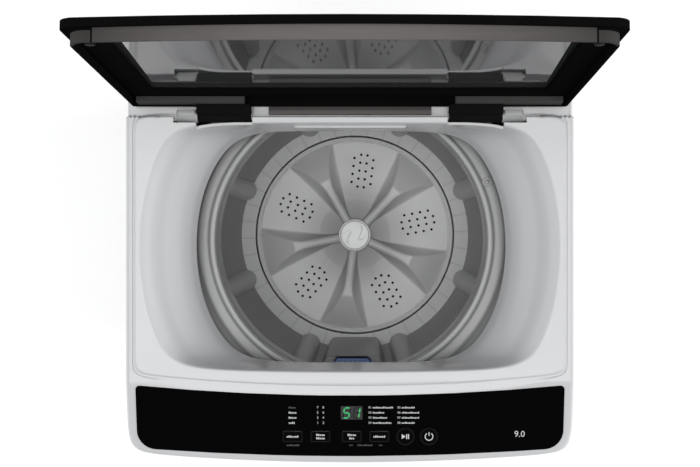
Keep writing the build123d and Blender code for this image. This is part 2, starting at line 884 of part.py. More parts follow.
with BuildPart() as drain_valve:
    with BuildSketch(Plane.XY.offset(tub_floor_z - drain_valve_height)):
        with Locations((sump_x, sump_y)):
            Circle(sump_radius)
    extrude(amount=drain_valve_height)
    with BuildSketch(Plane.XZ.offset(-sump_y)):
        with Locations((sump_x, tub_floor_z - drain_valve_axis)):
            Circle(drain_radius)
    extrude(amount=-drain_valve_spout)
drain_valve.part.label = "drain_valve"
export_step(drain_valve.part, "parts/drain_valve.step")

with BuildPart() as drain_motor:
    with BuildSketch(Plane.XY.offset(tub_floor_z - drain_motor_height)):
        with Locations((sump_x, sump_y - drain_motor_offset)):
            RectangleRounded(drain_motor_width, drain_motor_length, drain_motor_round)
    extrude(amount=drain_motor_height)
    with BuildSketch(Plane.XZ.offset(-(sump_y - drain_motor_length))):
        with Locations((sump_x, tub_floor_z - pull_rod_drop)):
            Circle(pull_rod_radius)
    extrude(amount=sump_radius + pull_rod_gap - drain_motor_length)
drain_motor.part.label = "drain_motor"
export_step(drain_motor.part, "parts/drain_motor.step")

with BuildPart() as drain_outlet:
    with BuildSketch(Plane.XZ.offset(-cabinet_rear - drain_pipe_out)):
        with Locations((drain_x, drain_z)):
            Circle(drain_radius)
            Circle(drain_radius - drain_pipe_wall, mode=Mode.SUBTRACT)
    extrude(amount=drain_pipe_length)
    with BuildSketch(Plane.XZ.offset(drain_flange_thickness - rear_inner_y)):
        with Locations((drain_x, drain_z)):
            Circle(drain_radius + drain_flange)
            Circle(drain_radius - drain_pipe_wall, mode=Mode.SUBTRACT)
    extrude(amount=-drain_flange_thickness)
drain_outlet.part.label = "drain_outlet"
export_step(drain_outlet.part, "parts/drain_outlet.step")

# ================================================================ basket
basket_slope = degrees(atan2(basket_top_radius - basket_foot_radius, basket_wall_height))


def basket_cone(grow, low, high):
    """Solid cone of the basket's inside, grown outwards, between two heights."""
    rise = (basket_top_radius - basket_foot_radius) / basket_wall_height
    with BuildPart() as cone:
        with BuildSketch(Plane.XZ):
            with BuildLine():
                Polyline(
                    (0, low),
                    (basket_foot_radius + grow + (low - floor_z) * rise, low),
                    (basket_foot_radius + grow + (high - floor_z) * rise, high),
                    (0, high),
                    close=True,
                )
            make_face()
        revolve(axis=Axis.Z)
    return cone.part


rib_angles = [rib_first_angle + 360 / rib_count * k for k in range(rib_count)]
rib_axis_radius = basket_foot_radius + rib_radius - rib_stand_out
rib_top = basket_wall_top - rib_end_drop
rib_root = 4.0

with BuildPart() as basket_wall:
    add(basket_cone(basket_sheet, floor_z, basket_wall_top))
    add(basket_cone(0, floor_z - cut_over, basket_wall_top + cut_over), mode=Mode.SUBTRACT)
    for angle in rib_angles:
        foot_point = Vector(rib_axis_radius, 0, floor_z).rotate(Axis.Z, angle)
        along = Vector(sin(radians(basket_slope)), 0, cos(radians(basket_slope))).rotate(Axis.Z, angle)
        with BuildSketch(Plane(origin=foot_point - along * rib_root, z_dir=along)):
            Circle(rib_radius)
        extrude(amount=rib_top - floor_z)
    add(basket_cone(basket_sheet, floor_z, basket_wall_top), mode=Mode.INTERSECT)
basket_wall.part.label = "basket_wall"
export_step(basket_wall.part, "parts/basket_wall.step")

pocket_radius = pulsator_radius + pulsator_gap
with BuildPart() as basket_base:
    with BuildSketch(Plane.XZ):
        with BuildLine():
            Polyline(
                (spin_shaft_radius, base_bottom),
                (basket_foot_radius + basket_sheet, base_bottom),
                (basket_foot_radius + basket_sheet, floor_z),
                (pocket_radius, floor_z),
                (pocket_radius, pocket_floor),
                (spin_shaft_radius, pocket_floor),
                close=True,
            )
        make_face()
    revolve(axis=Axis.Z)
basket_base.part.label = "basket_base"
export_step(basket_base.part, "parts/basket_base.step")

ring_cut = 10.0
ring_lead_in = 12.0
ring_round = 4.0

with BuildPart() as balance_ring:
    with BuildSketch(Plane.XZ):
        with BuildLine():
            Polyline(
                (balance_ring_inner, basket_wall_top + ring_lead_in),
                (balance_ring_inner + ring_cut, basket_wall_top),
                (ring_outer, basket_wall_top),
                (ring_outer, ring_top),
                (balance_ring_inner + ring_cut, ring_top),
                (balance_ring_inner, ring_top - ring_cut),
                close=True,
            )
        make_face()
        fillet(vertices().group_by(Axis.X)[0], ring_round)
    revolve(axis=Axis.Z)
balance_ring.part.label = "balance_ring"
export_step(balance_ring.part, "parts/balance_ring.step")

spin_shaft_bottom = gearbox_bottom - spin_shaft_end
hub_radius = 118.0
hub_hole_count = 3
hub_hole_circle = 88.0
hub_hole_radius = 24.0
hub_hole_angle = 30.0

with BuildPart() as basket_hub:
    with BuildSketch(Plane.XY.offset(base_bottom - hub_plate)):
        Circle(hub_radius)
        with PolarLocations(hub_hole_circle, hub_hole_count, hub_hole_angle):
            Circle(hub_hole_radius, mode=Mode.SUBTRACT)
    extrude(amount=hub_plate)
    with BuildSketch(Plane.XY.offset(spin_shaft_bottom)):
        Circle(spin_shaft_radius)
    extrude(amount=pocket_floor - spin_shaft_bottom)
    with BuildSketch(Plane.XY.offset(spin_shaft_bottom)):
        Circle(wash_shaft_radius + running_fit)
    extrude(amount=rim_height, mode=Mode.SUBTRACT)
basket_hub.part.label = "basket_hub"
export_step(basket_hub.part, "parts/basket_hub.step")

# Housing of the lint filter: a bulge on the front of the basket wall, open at its top.
lint_half_width = 37.0
lint_foot_half_width = 57.0
lint_stand_out = 18.0
lint_height = 250.0
lint_top = floor_z + lint_height
lint_wall = 2.5
filter_gap = 1.0
filter_half_width = 26.5
filter_depth = 110.0
filter_reach = 80.0
filter_rise = 2.0
lint_round = 10.0
filter_round = 8.0
lint_near = basket_foot_radius - lint_stand_out


def lint_plan():
    """Plan of the lint filter's housing, wider where it meets the basket wall."""
    far = basket_top_radius + basket_sheet
    with BuildSketch() as plan:
        with BuildLine():
            Polyline(
                (-lint_half_width, -lint_near),
                (-lint_foot_half_width, -far),
                (lint_foot_half_width, -far),
                (lint_half_width, -lint_near),
                close=True,
            )
        make_face()
        fillet(plan.vertices().sort_by(Axis.Y)[-2:], lint_round)
    return plan.sketch


def filter_plan(grow):
    """Plan of the filter cassette, grown outwards."""
    near = lint_near + lint_wall - grow
    with BuildSketch() as plan:
        with Locations((0, -near)):
            Rectangle(2 * (filter_half_width + grow), filter_reach, align=(Align.CENTER, Align.MAX))
        fillet(plan.vertices().sort_by(Axis.Y)[-2:], filter_round + grow)
    return plan.sketch


with BuildPart() as lint_housing:
    with BuildSketch(Plane.XY.offset(floor_z)):
        add(lint_plan())
    extrude(amount=lint_top - floor_z)
    add(basket_cone(0, floor_z, lint_top + cut_over), mode=Mode.INTERSECT)
    with BuildSketch(Plane.XY.offset(lint_top - filter_depth - filter_gap)):
        add(filter_plan(0))
    extrude(amount=filter_depth + filter_gap + cut_over, mode=Mode.SUBTRACT)
lint_housing.part.label = "lint_housing"
export_step(lint_housing.part, "parts/lint_housing.step")

with BuildPart() as lint_filter:
    with BuildSketch(Plane.XY.offset(lint_top - filter_depth)):
        add(filter_plan(-filter_gap))
    extrude(amount=filter_depth + filter_rise)
    add(basket_cone(-filter_gap, floor_z, lint_top + filter_rise + cut_over), mode=Mode.INTERSECT)
lint_filter.part.label = "lint_filter"
export_step(lint_filter.part, "parts/lint_filter.step")

# ================================================================ pulsator and its drive
pulsator_edge_z = floor_z - pulsator_drop
pulsator_low = pocket_floor + pulsator_lift
hub_top = pulsator_edge_z + pulsator_rise
cap_seat_z = hub_top - cap_seat_drop
cap_thickness = cap_seat_drop + cap_rise
hole_middle = 104.0
hole_step = 13.0
hole_row = 10.3
hole_radius = 2.1
# Each cluster has four rows along the radius: two of five holes between two of four.
row_places = [-1.5, -0.5, 0.5, 1.5]
long_row = [-2, -1, 0, 1, 2]
short_row = [-1.5, -0.5, 0.5, 1.5]
hole_grid = []
for row_place in row_places:
    columns = long_row if abs(row_place) < 1 else short_row
    hole_grid += [(row_place, column_place) for column_place in columns]

arm_inner_gap = 4.0
arm_inner = cap_radius + arm_inner_gap
arm_inner_width = 16.0
arm_lean = 18.0
arm_foot_drop = 3.0
arm_foot_z = pulsator_edge_z - arm_foot_drop
arm_end_height = 5.0
arm_bend = 95.0
arm_crest_rise = 17.0
arm_crest_z = pulsator_edge_z + arm_crest_rise

with BuildPart() as pulsator_arm:
    with BuildSketch(Plane.XY.offset(arm_foot_z)):
        Polygon(
            (arm_inner, -arm_inner_width / 2),
            (arm_reach, -arm_foot_width / 2),
            (arm_reach, arm_foot_width / 2),
            (arm_inner, arm_inner_width / 2),
            align=None,
        )
    extrude(amount=arm_crest_z - arm_foot_z, taper=arm_lean)
    with BuildSketch(Plane.XZ):
        Polygon(
            (0, arm_foot_z),
            (arm_reach, arm_foot_z),
            (arm_reach, arm_foot_z + arm_end_height),
            (arm_bend, arm_crest_z),
            (0, arm_crest_z),
            align=None,
        )
    extrude(amount=arm_foot_width, both=True, mode=Mode.INTERSECT)

with BuildPart() as pulsator:
    with BuildSketch(Plane.XZ):
        with BuildLine():
            Polyline(
                (wash_shaft_radius, pulsator_low),
                (cap_radius, pulsator_low),
                (cap_radius + pulsator_skin / 2, hub_top - pulsator_skirt),
                (pulsator_radius - pulsator_skin, pulsator_edge_z - pulsator_skin),
                (pulsator_radius - pulsator_skin, pulsator_edge_z - pulsator_skirt),
                (pulsator_radius, pulsator_edge_z - pulsator_skirt),
                (pulsator_radius, pulsator_edge_z),
                (pulsator_radius - pulsator_rim, pulsator_edge_z),
                (cap_radius, cap_seat_z),
                (wash_shaft_radius, cap_seat_z),
                close=True,
            )
        make_face()
    revolve(axis=Axis.Z)
    with PolarLocations(0, pulsator_arms, start_angle=arm_first_angle):
        add(pulsator_arm.part)
    with BuildSketch(Plane.XY.offset(pulsator_edge_z - pulsator_skirt)):
        for cluster in range(pulsator_arms):
            angle = hole_first_angle + 360 / pulsator_arms * cluster
            for row, column in hole_grid:
                place = Vector(hole_middle + column * hole_step, row * hole_row, 0).rotate(Axis.Z, angle)
                with Locations((place.X, place.Y)):
                    Circle(hole_radius)
    extrude(amount=pulsator_rise + 2 * pulsator_skirt, mode=Mode.SUBTRACT)
pulsator.part.label = "pulsator"
export_step(pulsator.part, "parts/pulsator.step")

with BuildPart() as pulsator_cap:
    with BuildSketch(Plane.XY.offset(cap_seat_z)):
        Circle(cap_radius)
    extrude(amount=cap_thickness)
    fillet(pulsator_cap.edges().group_by(Axis.Z)[-1], edge_round)
pulsator_cap.part.label = "pulsator_cap"
export_step(pulsator_cap.part, "parts/pulsator_cap.step")

with BuildPart() as wash_shaft:
    with BuildSketch(Plane.XY.offset(pulley_bottom - shaft_end)):
        Circle(wash_shaft_radius)
    extrude(amount=cap_seat_z - pulley_bottom + shaft_end)
wash_shaft.part.label = "wash_shaft"
export_step(wash_shaft.part, "parts/wash_shaft.step")

pulley_hole_count = 5
pulley_hole_circle = 46.0
pulley_hole_radius = 15.0

with BuildPart() as drive_pulley:
    with BuildSketch(Plane.XY.offset(pulley_bottom)):
        Circle(pulley_radius)
        Circle(wash_shaft_radius, mode=Mode.SUBTRACT)
        with PolarLocations(pulley_hole_circle, pulley_hole_count):
            Circle(pulley_hole_radius, mode=Mode.SUBTRACT)
    extrude(amount=belt_width)
drive_pulley.part.label = "drive_pulley"
export_step(drive_pulley.part, "parts/drive_pulley.step")

# ================================================================ lid, drawn in its open place
def lid_outline(half_x, front, rear, rounding, bow=front_bow):
    """Plan of a lid layer: front and rear are distances in front of the hinge line."""
    return bowed_outline(half_x, front, -rear, bow, rounding, lid_rear_corner)


lid_rear = 3.0
skirt_rear = 5.0
skirt_front = lid_length - skirt_front_inset
inner_half = skirt_half_width - skirt_wall
inner_front = skirt_front - skirt_wall
inner_corner = skirt_corner - skirt_wall
glass_middle = (glass_near + glass_far) / 2
glass_length = glass_far - glass_near
glass_recess = 0.5

with BuildPart() as lid_frame:
    with BuildSketch(lid_plane.offset(skirt_high)):
        add(lid_outline(lid_half_width, lid_length, lid_rear, lid_corner))
    extrude(amount=lid_plate)
    with BuildSketch(lid_plane.offset(skirt_low)):
        add(lid_outline(skirt_half_width, skirt_front, skirt_rear, skirt_corner))
        add(lid_outline(inner_half, inner_front, skirt_rear + skirt_wall, inner_corner), mode=Mode.SUBTRACT)
    extrude(amount=skirt_height)
    with BuildSketch(lid_plane.offset(skirt_high - cut_over)):
        with Locations((0, -glass_middle)):
            RectangleRounded(2 * glass_half_width, glass_length, glass_corner)
    extrude(amount=lid_plate + 2 * cut_over, mode=Mode.SUBTRACT)
lid_frame.part.label = "lid_frame"
export_step(lid_frame.part, "parts/lid_frame.step")

with BuildPart() as lid_glass:
    with BuildSketch(lid_plane.offset(skirt_high)):
        with Locations((0, -glass_middle)):
            RectangleRounded(2 * glass_half_width, glass_length, glass_corner)
    extrude(amount=lid_plate - glass_recess)
lid_glass.part.label = "lid_glass"
export_step(lid_glass.part, "parts/lid_glass.step")

inner_frame_height = 6.0
inner_frame_edge = 6.0
hinge_cover_depth = 21.0
hinge_cover_inner = 126.0

with BuildPart() as lid_inner_frame:
    with BuildSketch(lid_plane.offset(skirt_high - inner_frame_height)):
        rear = skirt_rear + skirt_wall + hinge_cover_depth + moving_gap
        add(lid_outline(inner_half, inner_front, rear, inner_corner))
        with Locations((0, -glass_middle)):
            RectangleRounded(
                2 * (glass_half_width - inner_frame_edge),
                glass_length - 2 * inner_frame_edge,
                glass_corner,
                mode=Mode.SUBTRACT,
            )
    extrude(amount=inner_frame_height)
lid_inner_frame.part.label = "lid_inner_frame"
export_step(lid_inner_frame.part, "parts/lid_inner_frame.step")

hinge_cover_outer_gap = 4.5
hinge_cover_lift = 1.0
arm_reach_past = 12.0
arm_rib_lift = 2.0
arm_block_width = inner_half - hinge_cover_inner - hinge_cover_outer_gap
barrel_middle = barrel_inner + barrel_length / 2

with BuildPart() as lid_hinges:
    for side in (-1, 1):
        with BuildSketch(lid_plane.offset(skirt_low + hinge_cover_lift)):
            with Locations((side * (hinge_cover_inner + arm_block_width / 2), -skirt_rear - skirt_wall)):
                Rectangle(arm_block_width, hinge_cover_depth, align=(Align.CENTER, Align.MAX))
        extrude(amount=skirt_height - hinge_cover_lift)
        with BuildSketch(Plane.YZ.offset(side * barrel_middle - barrel_length / 2)):
            with Locations((hinge_y, hinge_z)):
                Circle(barrel_radius)
        extrude(amount=barrel_length)
        with BuildSketch(lid_plane):
            with Locations((side * barrel_middle, 0)):
                arm_reach = skirt_rear + skirt_wall + arm_reach_past
                Rectangle(barrel_length, arm_reach, align=(Align.CENTER, Align.MAX))
        extrude(amount=skirt_low)
        with BuildSketch(lid_plane.offset(skirt_low)):
            with Locations((side * (barrel_middle + arm_rib_lift), -skirt_rear - skirt_wall)):
                Rectangle(barrel_length - arm_reach_past, arm_reach_past, align=(Align.CENTER, Align.MAX))
        extrude(amount=arm_rib_lift)
        with BuildSketch(Plane.YZ.offset(side * barrel_middle - barrel_length / 2 - cut_over)):
            with Locations((hinge_y, hinge_z)):
                Circle(hinge_pin_radius + running_fit)
        extrude(amount=barrel_length + 2 * cut_over, mode=Mode.SUBTRACT)
lid_hinges.part.label = "lid_hinges"
export_step(lid_hinges.part, "parts/lid_hinges.step")

bumper_inset = 21.0
bumper_radius = 5.0
bumper_places = [
    (-skirt_half_width + bumper_inset, -skirt_front + bumper_inset),
    (skirt_half_width - bumper_inset, -skirt_front + bumper_inset),
]
with BuildPart() as lid_bumpers:
    for x, y in bumper_places:
        with BuildSketch(lid_plane.offset(skirt_low - lid_seat_gap + sheet_gap)):
            with Locations((x, y)):
                Circle(bumper_radius)
        extrude(amount=skirt_height + lid_seat_gap - sheet_gap - inner_frame_height)
lid_bumpers.part.label = "lid_bumpers"
export_step(lid_bumpers.part, "parts/lid_bumpers.step")

# Hinge brackets and pins, fixed in the pockets of the cover.
tab_inner = barrel_inner + barrel_length + moving_gap
with BuildPart() as hinge_brackets:
    for side in (-1, 1):
        with BuildSketch(Plane.YZ.offset(side * (tab_inner + tab_width / 2) - tab_width / 2)):
            with Locations((hinge_y, hinge_z)):
                Circle(barrel_radius)
            with Locations((hinge_y, pocket_floor_z + cover_wall)):
                foot_rise = hinge_z - pocket_floor_z - cover_wall
                Rectangle(2 * barrel_radius, foot_rise, align=(Align.CENTER, Align.MIN))
            with Locations((hinge_y, hinge_z)):
                Circle(hinge_pin_radius, mode=Mode.SUBTRACT)
        extrude(amount=tab_width)
hinge_brackets.part.label = "hinge_brackets"
export_step(hinge_brackets.part, "parts/hinge_brackets.step")

pin_length = barrel_length + tab_width + moving_gap
with BuildPart() as hinge_pins:
    for side in (-1, 1):
        start = side * (barrel_inner + pin_length / 2) - pin_length / 2
        with BuildSketch(Plane.YZ.offset(start)):
            with Locations((hinge_y, hinge_z)):
                Circle(hinge_pin_radius)
        extrude(amount=pin_length)
hinge_pins.part.label = "hinge_pins"
export_step(hinge_pins.part, "parts/hinge_pins.step")

# ================================================================ control panel
with BuildPart() as fascia:
    with BuildSketch(deck_plane.offset(-fascia_recess)):
        add(bowed_outline(
            fascia_half_width,
            -on_deck(fascia_front),
            on_deck(fascia_rear),
            front_bow * fascia_bow_share,
            fascia_front_round,
            fascia_rear_round,
            rear_bow=front_bow,
        ))
    extrude(amount=fascia_plate)
    with BuildSketch(deck_plane.offset(-fascia_recess - cut_over)):
        for place in button_places.values():
            with Locations((place, on_deck(button_row_y))):
                RectangleRounded(button_width + 2 * moving_gap, button_depth + 2 * moving_gap, key_round)
        for place in round_button_places.values():
            with Locations((place, on_deck(button_row_y))):
                Circle(button_round + moving_gap)
        with Locations((display_x, on_deck(display_y))):
            RectangleRounded(display_width, display_depth, display_round)
    extrude(amount=fascia_plate + 2 * cut_over, mode=Mode.SUBTRACT)
fascia.part.label = "control_fascia"
export_step(fascia.part, "parts/control_fascia.step")

with BuildPart() as display_lens:
    with BuildSketch(deck_plane.offset(-fascia_recess)):
        with Locations((display_x, on_deck(display_y))):
            RectangleRounded(display_width, display_depth, display_round)
    extrude(amount=fascia_plate - lens_recess)
display_lens.part.label = "display_lens"
export_step(display_lens.part, "parts/display_lens.step")

case_low = -30.0
case_high = -8.0
case_wall = 2.0
case_rear_gap = 2.0
case_front_gap = 12.0
case_rear = fascia_rear - case_rear_gap
case_front = fascia_front - case_front_gap
case_left = -175.0
case_right = 125.0
board_plate = 1.6
button_stem = 4.0
board_level = -14.0
case_round = 6.0
case_middle = (case_left + case_right) / 2
case_width = case_right - case_left
case_centre = on_deck((case_rear + case_front) / 2)
case_depth = on_deck(case_rear) - on_deck(case_front)
case_inner_round = case_round - case_wall
display_seat = 1.0

with BuildPart() as control_case:
    with BuildSketch(deck_plane.offset(case_low)):
        with Locations((case_middle, case_centre)):
            RectangleRounded(case_width, case_depth, case_round)
    extrude(amount=case_high - case_low)
    with BuildSketch(deck_plane.offset(case_low + case_wall)):
        with Locations((case_middle, case_centre)):
            RectangleRounded(case_width - 2 * case_wall, case_depth - 2 * case_wall, case_inner_round)
    extrude(amount=case_high - case_low, mode=Mode.SUBTRACT)
control_case.part.label = "control_case"
export_step(control_case.part, "parts/control_case.step")

with BuildPart() as control_board:
    with BuildSketch(deck_plane.offset(board_level - board_plate)):
        with Locations((case_middle, case_centre)):
            RectangleRounded(case_width - 2 * case_wall, case_depth - 2 * case_wall, case_inner_round)
    extrude(amount=board_plate)
    with BuildSketch(deck_plane.offset(board_level)):
        with Locations((display_x, on_deck(display_y))):
            Rectangle(display_width - 2 * display_seat, display_depth - 2 * display_seat)
    extrude(amount=-fascia_recess - board_level)
control_board.part.label = "control_board"
export_step(control_board.part, "parts/control_board.step")

button_top = fascia_proud + button_rise
stem_gap = 0.6
stem_overlap = 1.0
stem_low = board_level + button_travel + stem_gap
for button_name, place in (button_places | round_button_places).items():
    with BuildPart() as button:
        with BuildSketch(deck_plane.offset(button_top - button_cap)):
            with Locations((place, on_deck(button_row_y))):
                if button_name in round_button_places:
                    Circle(button_round)
                else:
                    RectangleRounded(button_width, button_depth, key_round)
        extrude(amount=button_cap)
        chamfer(button.faces().sort_by(Axis.Z)[-1].edges(), button_rise)
        with BuildSketch(deck_plane.offset(stem_low)):
            with Locations((place, on_deck(button_row_y))):
                Circle(button_stem / 2)
        extrude(amount=button_top - stem_overlap - stem_low)
    button.part.label = button_name
    export_step(button.part, f"parts/{button_name}.step")

# ================================================================ water inlet and detergent drawer
housing_wall = 2.5
drawer_depth = 88.0
housing_end_gap = 4.0
housing_front = bowl_rear + cover_wall + housing_end_gap
housing_rear = rear_inner_y - housing_end_gap
housing_back_gap = 6.0
housing_inner_width = 2 * (drawer_half_width + drawer_gap)

with BuildPart() as detergent_housing:
    with BuildSketch(Plane.XZ.offset(-housing_front)):
        with Locations((0, drawer_middle)):
            Rectangle(housing_inner_width + 2 * housing_wall, drawer_height + 2 * housing_wall)
    extrude(amount=housing_front - housing_rear)
    with BuildSketch(Plane.XZ.offset(-housing_front)):
        with Locations((0, drawer_middle)):
            Rectangle(housing_inner_width, drawer_height)
    extrude(amount=-(drawer_depth + housing_back_gap), mode=Mode.SUBTRACT)
detergent_housing.part.label = "detergent_housing"
export_step(detergent_housing.part, "parts/detergent_housing.step")

drawer_plate = 3.0
drawer_wall = 2.0
drawer_lip = 2.0
drawer_out = 4.0
drawer_front_y = bowl_rear - drawer_out
bay_wall = 1.5 * drawer_wall
drawer_edge = 3.0
grip_width = 54.0
grip_depth = 5.0
grip_height = 7.0
with BuildPart() as drawer:
    with BuildSketch(Plane.XZ.offset(-drawer_front_y)):
        with Locations((0, drawer_middle)):
            Rectangle(2 * drawer_half_width, drawer_height)
    extrude(amount=-drawer_plate)
    with BuildSketch(Plane.XZ.offset(-drawer_front_y - drawer_plate)):
        with Locations((0, drawer_middle)):
            Rectangle(2 * (drawer_half_width - drawer_lip), drawer_height - 2 * drawer_edge)
    extrude(amount=-drawer_depth)
    bay_width = drawer_half_width - drawer_lip - bay_wall
    with BuildSketch(Plane.XY.offset(drawer_bottom + drawer_edge + drawer_wall)):
        bay_y = drawer_front_y + drawer_plate + drawer_depth / 2
        bay_x = bay_width / 2 + drawer_wall / 2
        with Locations((-bay_x, bay_y), (bay_x, bay_y)):
            Rectangle(bay_width, drawer_depth - 2 * drawer_wall)
    extrude(amount=drawer_height, mode=Mode.SUBTRACT)
    # Finger grip under the middle of the drawer's front.
    with BuildSketch(Plane.XY.offset(drawer_bottom - cut_over)):
        with Locations((0, drawer_front_y)):
            Rectangle(grip_width, grip_depth)
    extrude(amount=grip_height + cut_over, mode=Mode.SUBTRACT)
drawer.part.label = "detergent_drawer"
export_step(drawer.part, "parts/detergent_drawer.step")

nozzle_wall = 4.0
valve_flange = 4.0
valve_flange_width = 36.0
valve_flange_height = 40.0
valve_flange_round = 5.0
valve_body_extra = 2.0
valve_body_length = 34.0
valve_names = {"cold_inlet_valve": valve_x, "hot_inlet_valve": valve_x + valve_spacing}
for valve_name, place in valve_names.items():
    with BuildPart() as valve:
        with BuildSketch(Plane.XZ.offset(-cover_rear - nozzle_length)):
            with Locations((place, valve_z)):
                Circle(nozzle_radius)
                Circle(nozzle_radius - nozzle_wall, mode=Mode.SUBTRACT)
        extrude(amount=cover_rear + nozzle_length - rear_inner_y + valve_flange)
        with BuildSketch(Plane.XZ.offset(-rear_inner_y)):
            with Locations((place, valve_z)):
                RectangleRounded(valve_flange_width, valve_flange_height, valve_flange_round)
        extrude(amount=valve_flange)
        with BuildSketch(Plane.XZ.offset(-rear_inner_y + valve_flange)):
            with Locations((place, valve_z)):
                Circle(nozzle_radius + valve_body_extra)
        extrude(amount=valve_body_length)
    valve.part.label = valve_name
    export_step(valve.part, f"parts/{valve_name}.step")

switch_x = 232.0
switch_y = 190.0
switch_width = 26.0
switch_depth = 40.0
switch_height = 26.0
switch_round = 3.0

with BuildPart() as lid_switch:
    with BuildSketch(Plane.XY.offset(rear_deck_z - cover_wall - switch_height)):
        with Locations((switch_x, switch_y)):
            RectangleRounded(switch_width, switch_depth, switch_round)
    extrude(amount=switch_height)
lid_switch.part.label = "lid_switch"
export_step(lid_switch.part, "parts/lid_switch.step")

# ================================================================ trim behind the bowl
trim_half = 98.0
trim_front_gap = 1.5
trim_depth = 7.5
trim_height = 8.5

# The trim stays inside the circle that the back edge of the lid turns through.
with BuildPart() as rear_trim:
    with BuildSketch(Plane.XY.offset(rear_deck_z)):
        with Locations((0, hinge_y + trim_front_gap + trim_depth / 2)):
            Rectangle(2 * trim_half, trim_depth)
    extrude(amount=trim_height)
    fillet(rear_trim.edges().group_by(Axis.Z)[-1].filter_by(Axis.X), edge_round)
rear_trim.part.label = "rear_trim"
export_step(rear_trim.part, "parts/rear_trim.step")

# ================================================================ rear housing on the cover
rear_housing_half = 200.0
rear_housing_gap = 52.0
rear_housing_start = hinge_y + rear_housing_gap
rear_housing_height = 10.0
rear_housing_round = 14.0
rear_housing_edge = 5.0
rear_housing_depth = half_depth - rear_housing_start
with BuildPart() as rear_housing:
    with BuildSketch(Plane.XY.offset(rear_deck_z)):
        with Locations((0, (rear_housing_start + half_depth) / 2)):
            RectangleRounded(2 * rear_housing_half, rear_housing_depth, rear_housing_round)
    extrude(amount=rear_housing_height)
    fillet(rear_housing.edges().group_by(Axis.Z)[-1], rear_housing_edge)
    with BuildSketch(Plane.XY.offset(cover_bottom)):
        with Locations((0, (cover_rear + half_depth) / 2)):
            Rectangle(2 * (rear_housing_half - rear_housing_round), half_depth - cover_rear)
    extrude(amount=rear_deck_z - cover_bottom)
rear_housing.part.label = "rear_housing"
export_step(rear_housing.part, "parts/rear_housing.step")
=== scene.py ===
# %% [markdown]
# # A top load washing machine, seen from above with its lid open
#
# The construction is already modelled: every part has its true size and its place in one
# shared frame. This lesson gives those parts their surfaces. Flat pressed and moulded parts
# are copied from the frame and get rounded edges. The parts whose beauty is in their curves,
# such as the bowl, the pulsator and the basket, are modelled again as smooth meshes.

# %% Load the construction
import json
import math

import bmesh
import bpy
import numpy as np
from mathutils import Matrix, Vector

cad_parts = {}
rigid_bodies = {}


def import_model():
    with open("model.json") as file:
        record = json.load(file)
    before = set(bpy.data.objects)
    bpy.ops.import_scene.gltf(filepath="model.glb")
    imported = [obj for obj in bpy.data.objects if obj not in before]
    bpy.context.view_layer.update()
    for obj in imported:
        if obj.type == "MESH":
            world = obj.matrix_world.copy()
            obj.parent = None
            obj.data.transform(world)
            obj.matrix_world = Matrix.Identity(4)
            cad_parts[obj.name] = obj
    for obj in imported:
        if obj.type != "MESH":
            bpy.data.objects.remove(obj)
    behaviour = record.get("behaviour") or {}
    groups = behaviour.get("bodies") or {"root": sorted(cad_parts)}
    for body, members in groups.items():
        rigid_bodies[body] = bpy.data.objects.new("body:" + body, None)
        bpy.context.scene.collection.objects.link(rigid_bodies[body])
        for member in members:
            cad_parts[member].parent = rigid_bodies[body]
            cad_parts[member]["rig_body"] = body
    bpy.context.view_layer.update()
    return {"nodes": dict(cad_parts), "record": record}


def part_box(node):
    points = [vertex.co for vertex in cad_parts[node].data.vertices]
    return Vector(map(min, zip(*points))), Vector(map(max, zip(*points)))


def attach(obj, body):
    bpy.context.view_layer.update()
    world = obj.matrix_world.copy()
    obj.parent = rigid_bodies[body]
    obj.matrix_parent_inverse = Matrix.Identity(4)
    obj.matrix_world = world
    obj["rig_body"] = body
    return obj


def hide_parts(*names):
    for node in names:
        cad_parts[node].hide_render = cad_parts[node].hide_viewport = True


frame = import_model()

nodes = frame["nodes"]
slots = {row["node"]: row["material_slot"] for row in frame["record"]["subparts"]}
body_of = {node: nodes[node]["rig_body"] for node in nodes}
MM = 0.001

# %% [markdown]
# ## Shader arithmetic
#
# A finish is a formula: noise makes a height, the height makes a bump and a little colour
# change. Writing it as Python expressions keeps it readable, so a small class wraps a socket
# and turns + - * / into Math nodes.


# %% A socket that can be used in arithmetic
class Value:
    """One output of a shader node, with arithmetic."""

    def __init__(self, shader, socket):
        self.shader = shader
        self.socket = socket

    def math(self, operation, *others):
        """A Math node with this value as its first input."""
        return self.shader.node("ShaderNodeMath", {"operation": operation}, [self, *others])

    def __add__(self, other):
        return self.math("ADD", other)

    __radd__ = __add__

    def __sub__(self, other):
        return self.math("SUBTRACT", other)

    def __rsub__(self, other):
        return self.shader.node("ShaderNodeMath", {"operation": "SUBTRACT"}, [other, self])

    def __mul__(self, other):
        return self.math("MULTIPLY", other)

    __rmul__ = __mul__

    def __truediv__(self, other):
        return self.math("DIVIDE", other)

    def __pow__(self, other):
        return self.math("POWER", other)


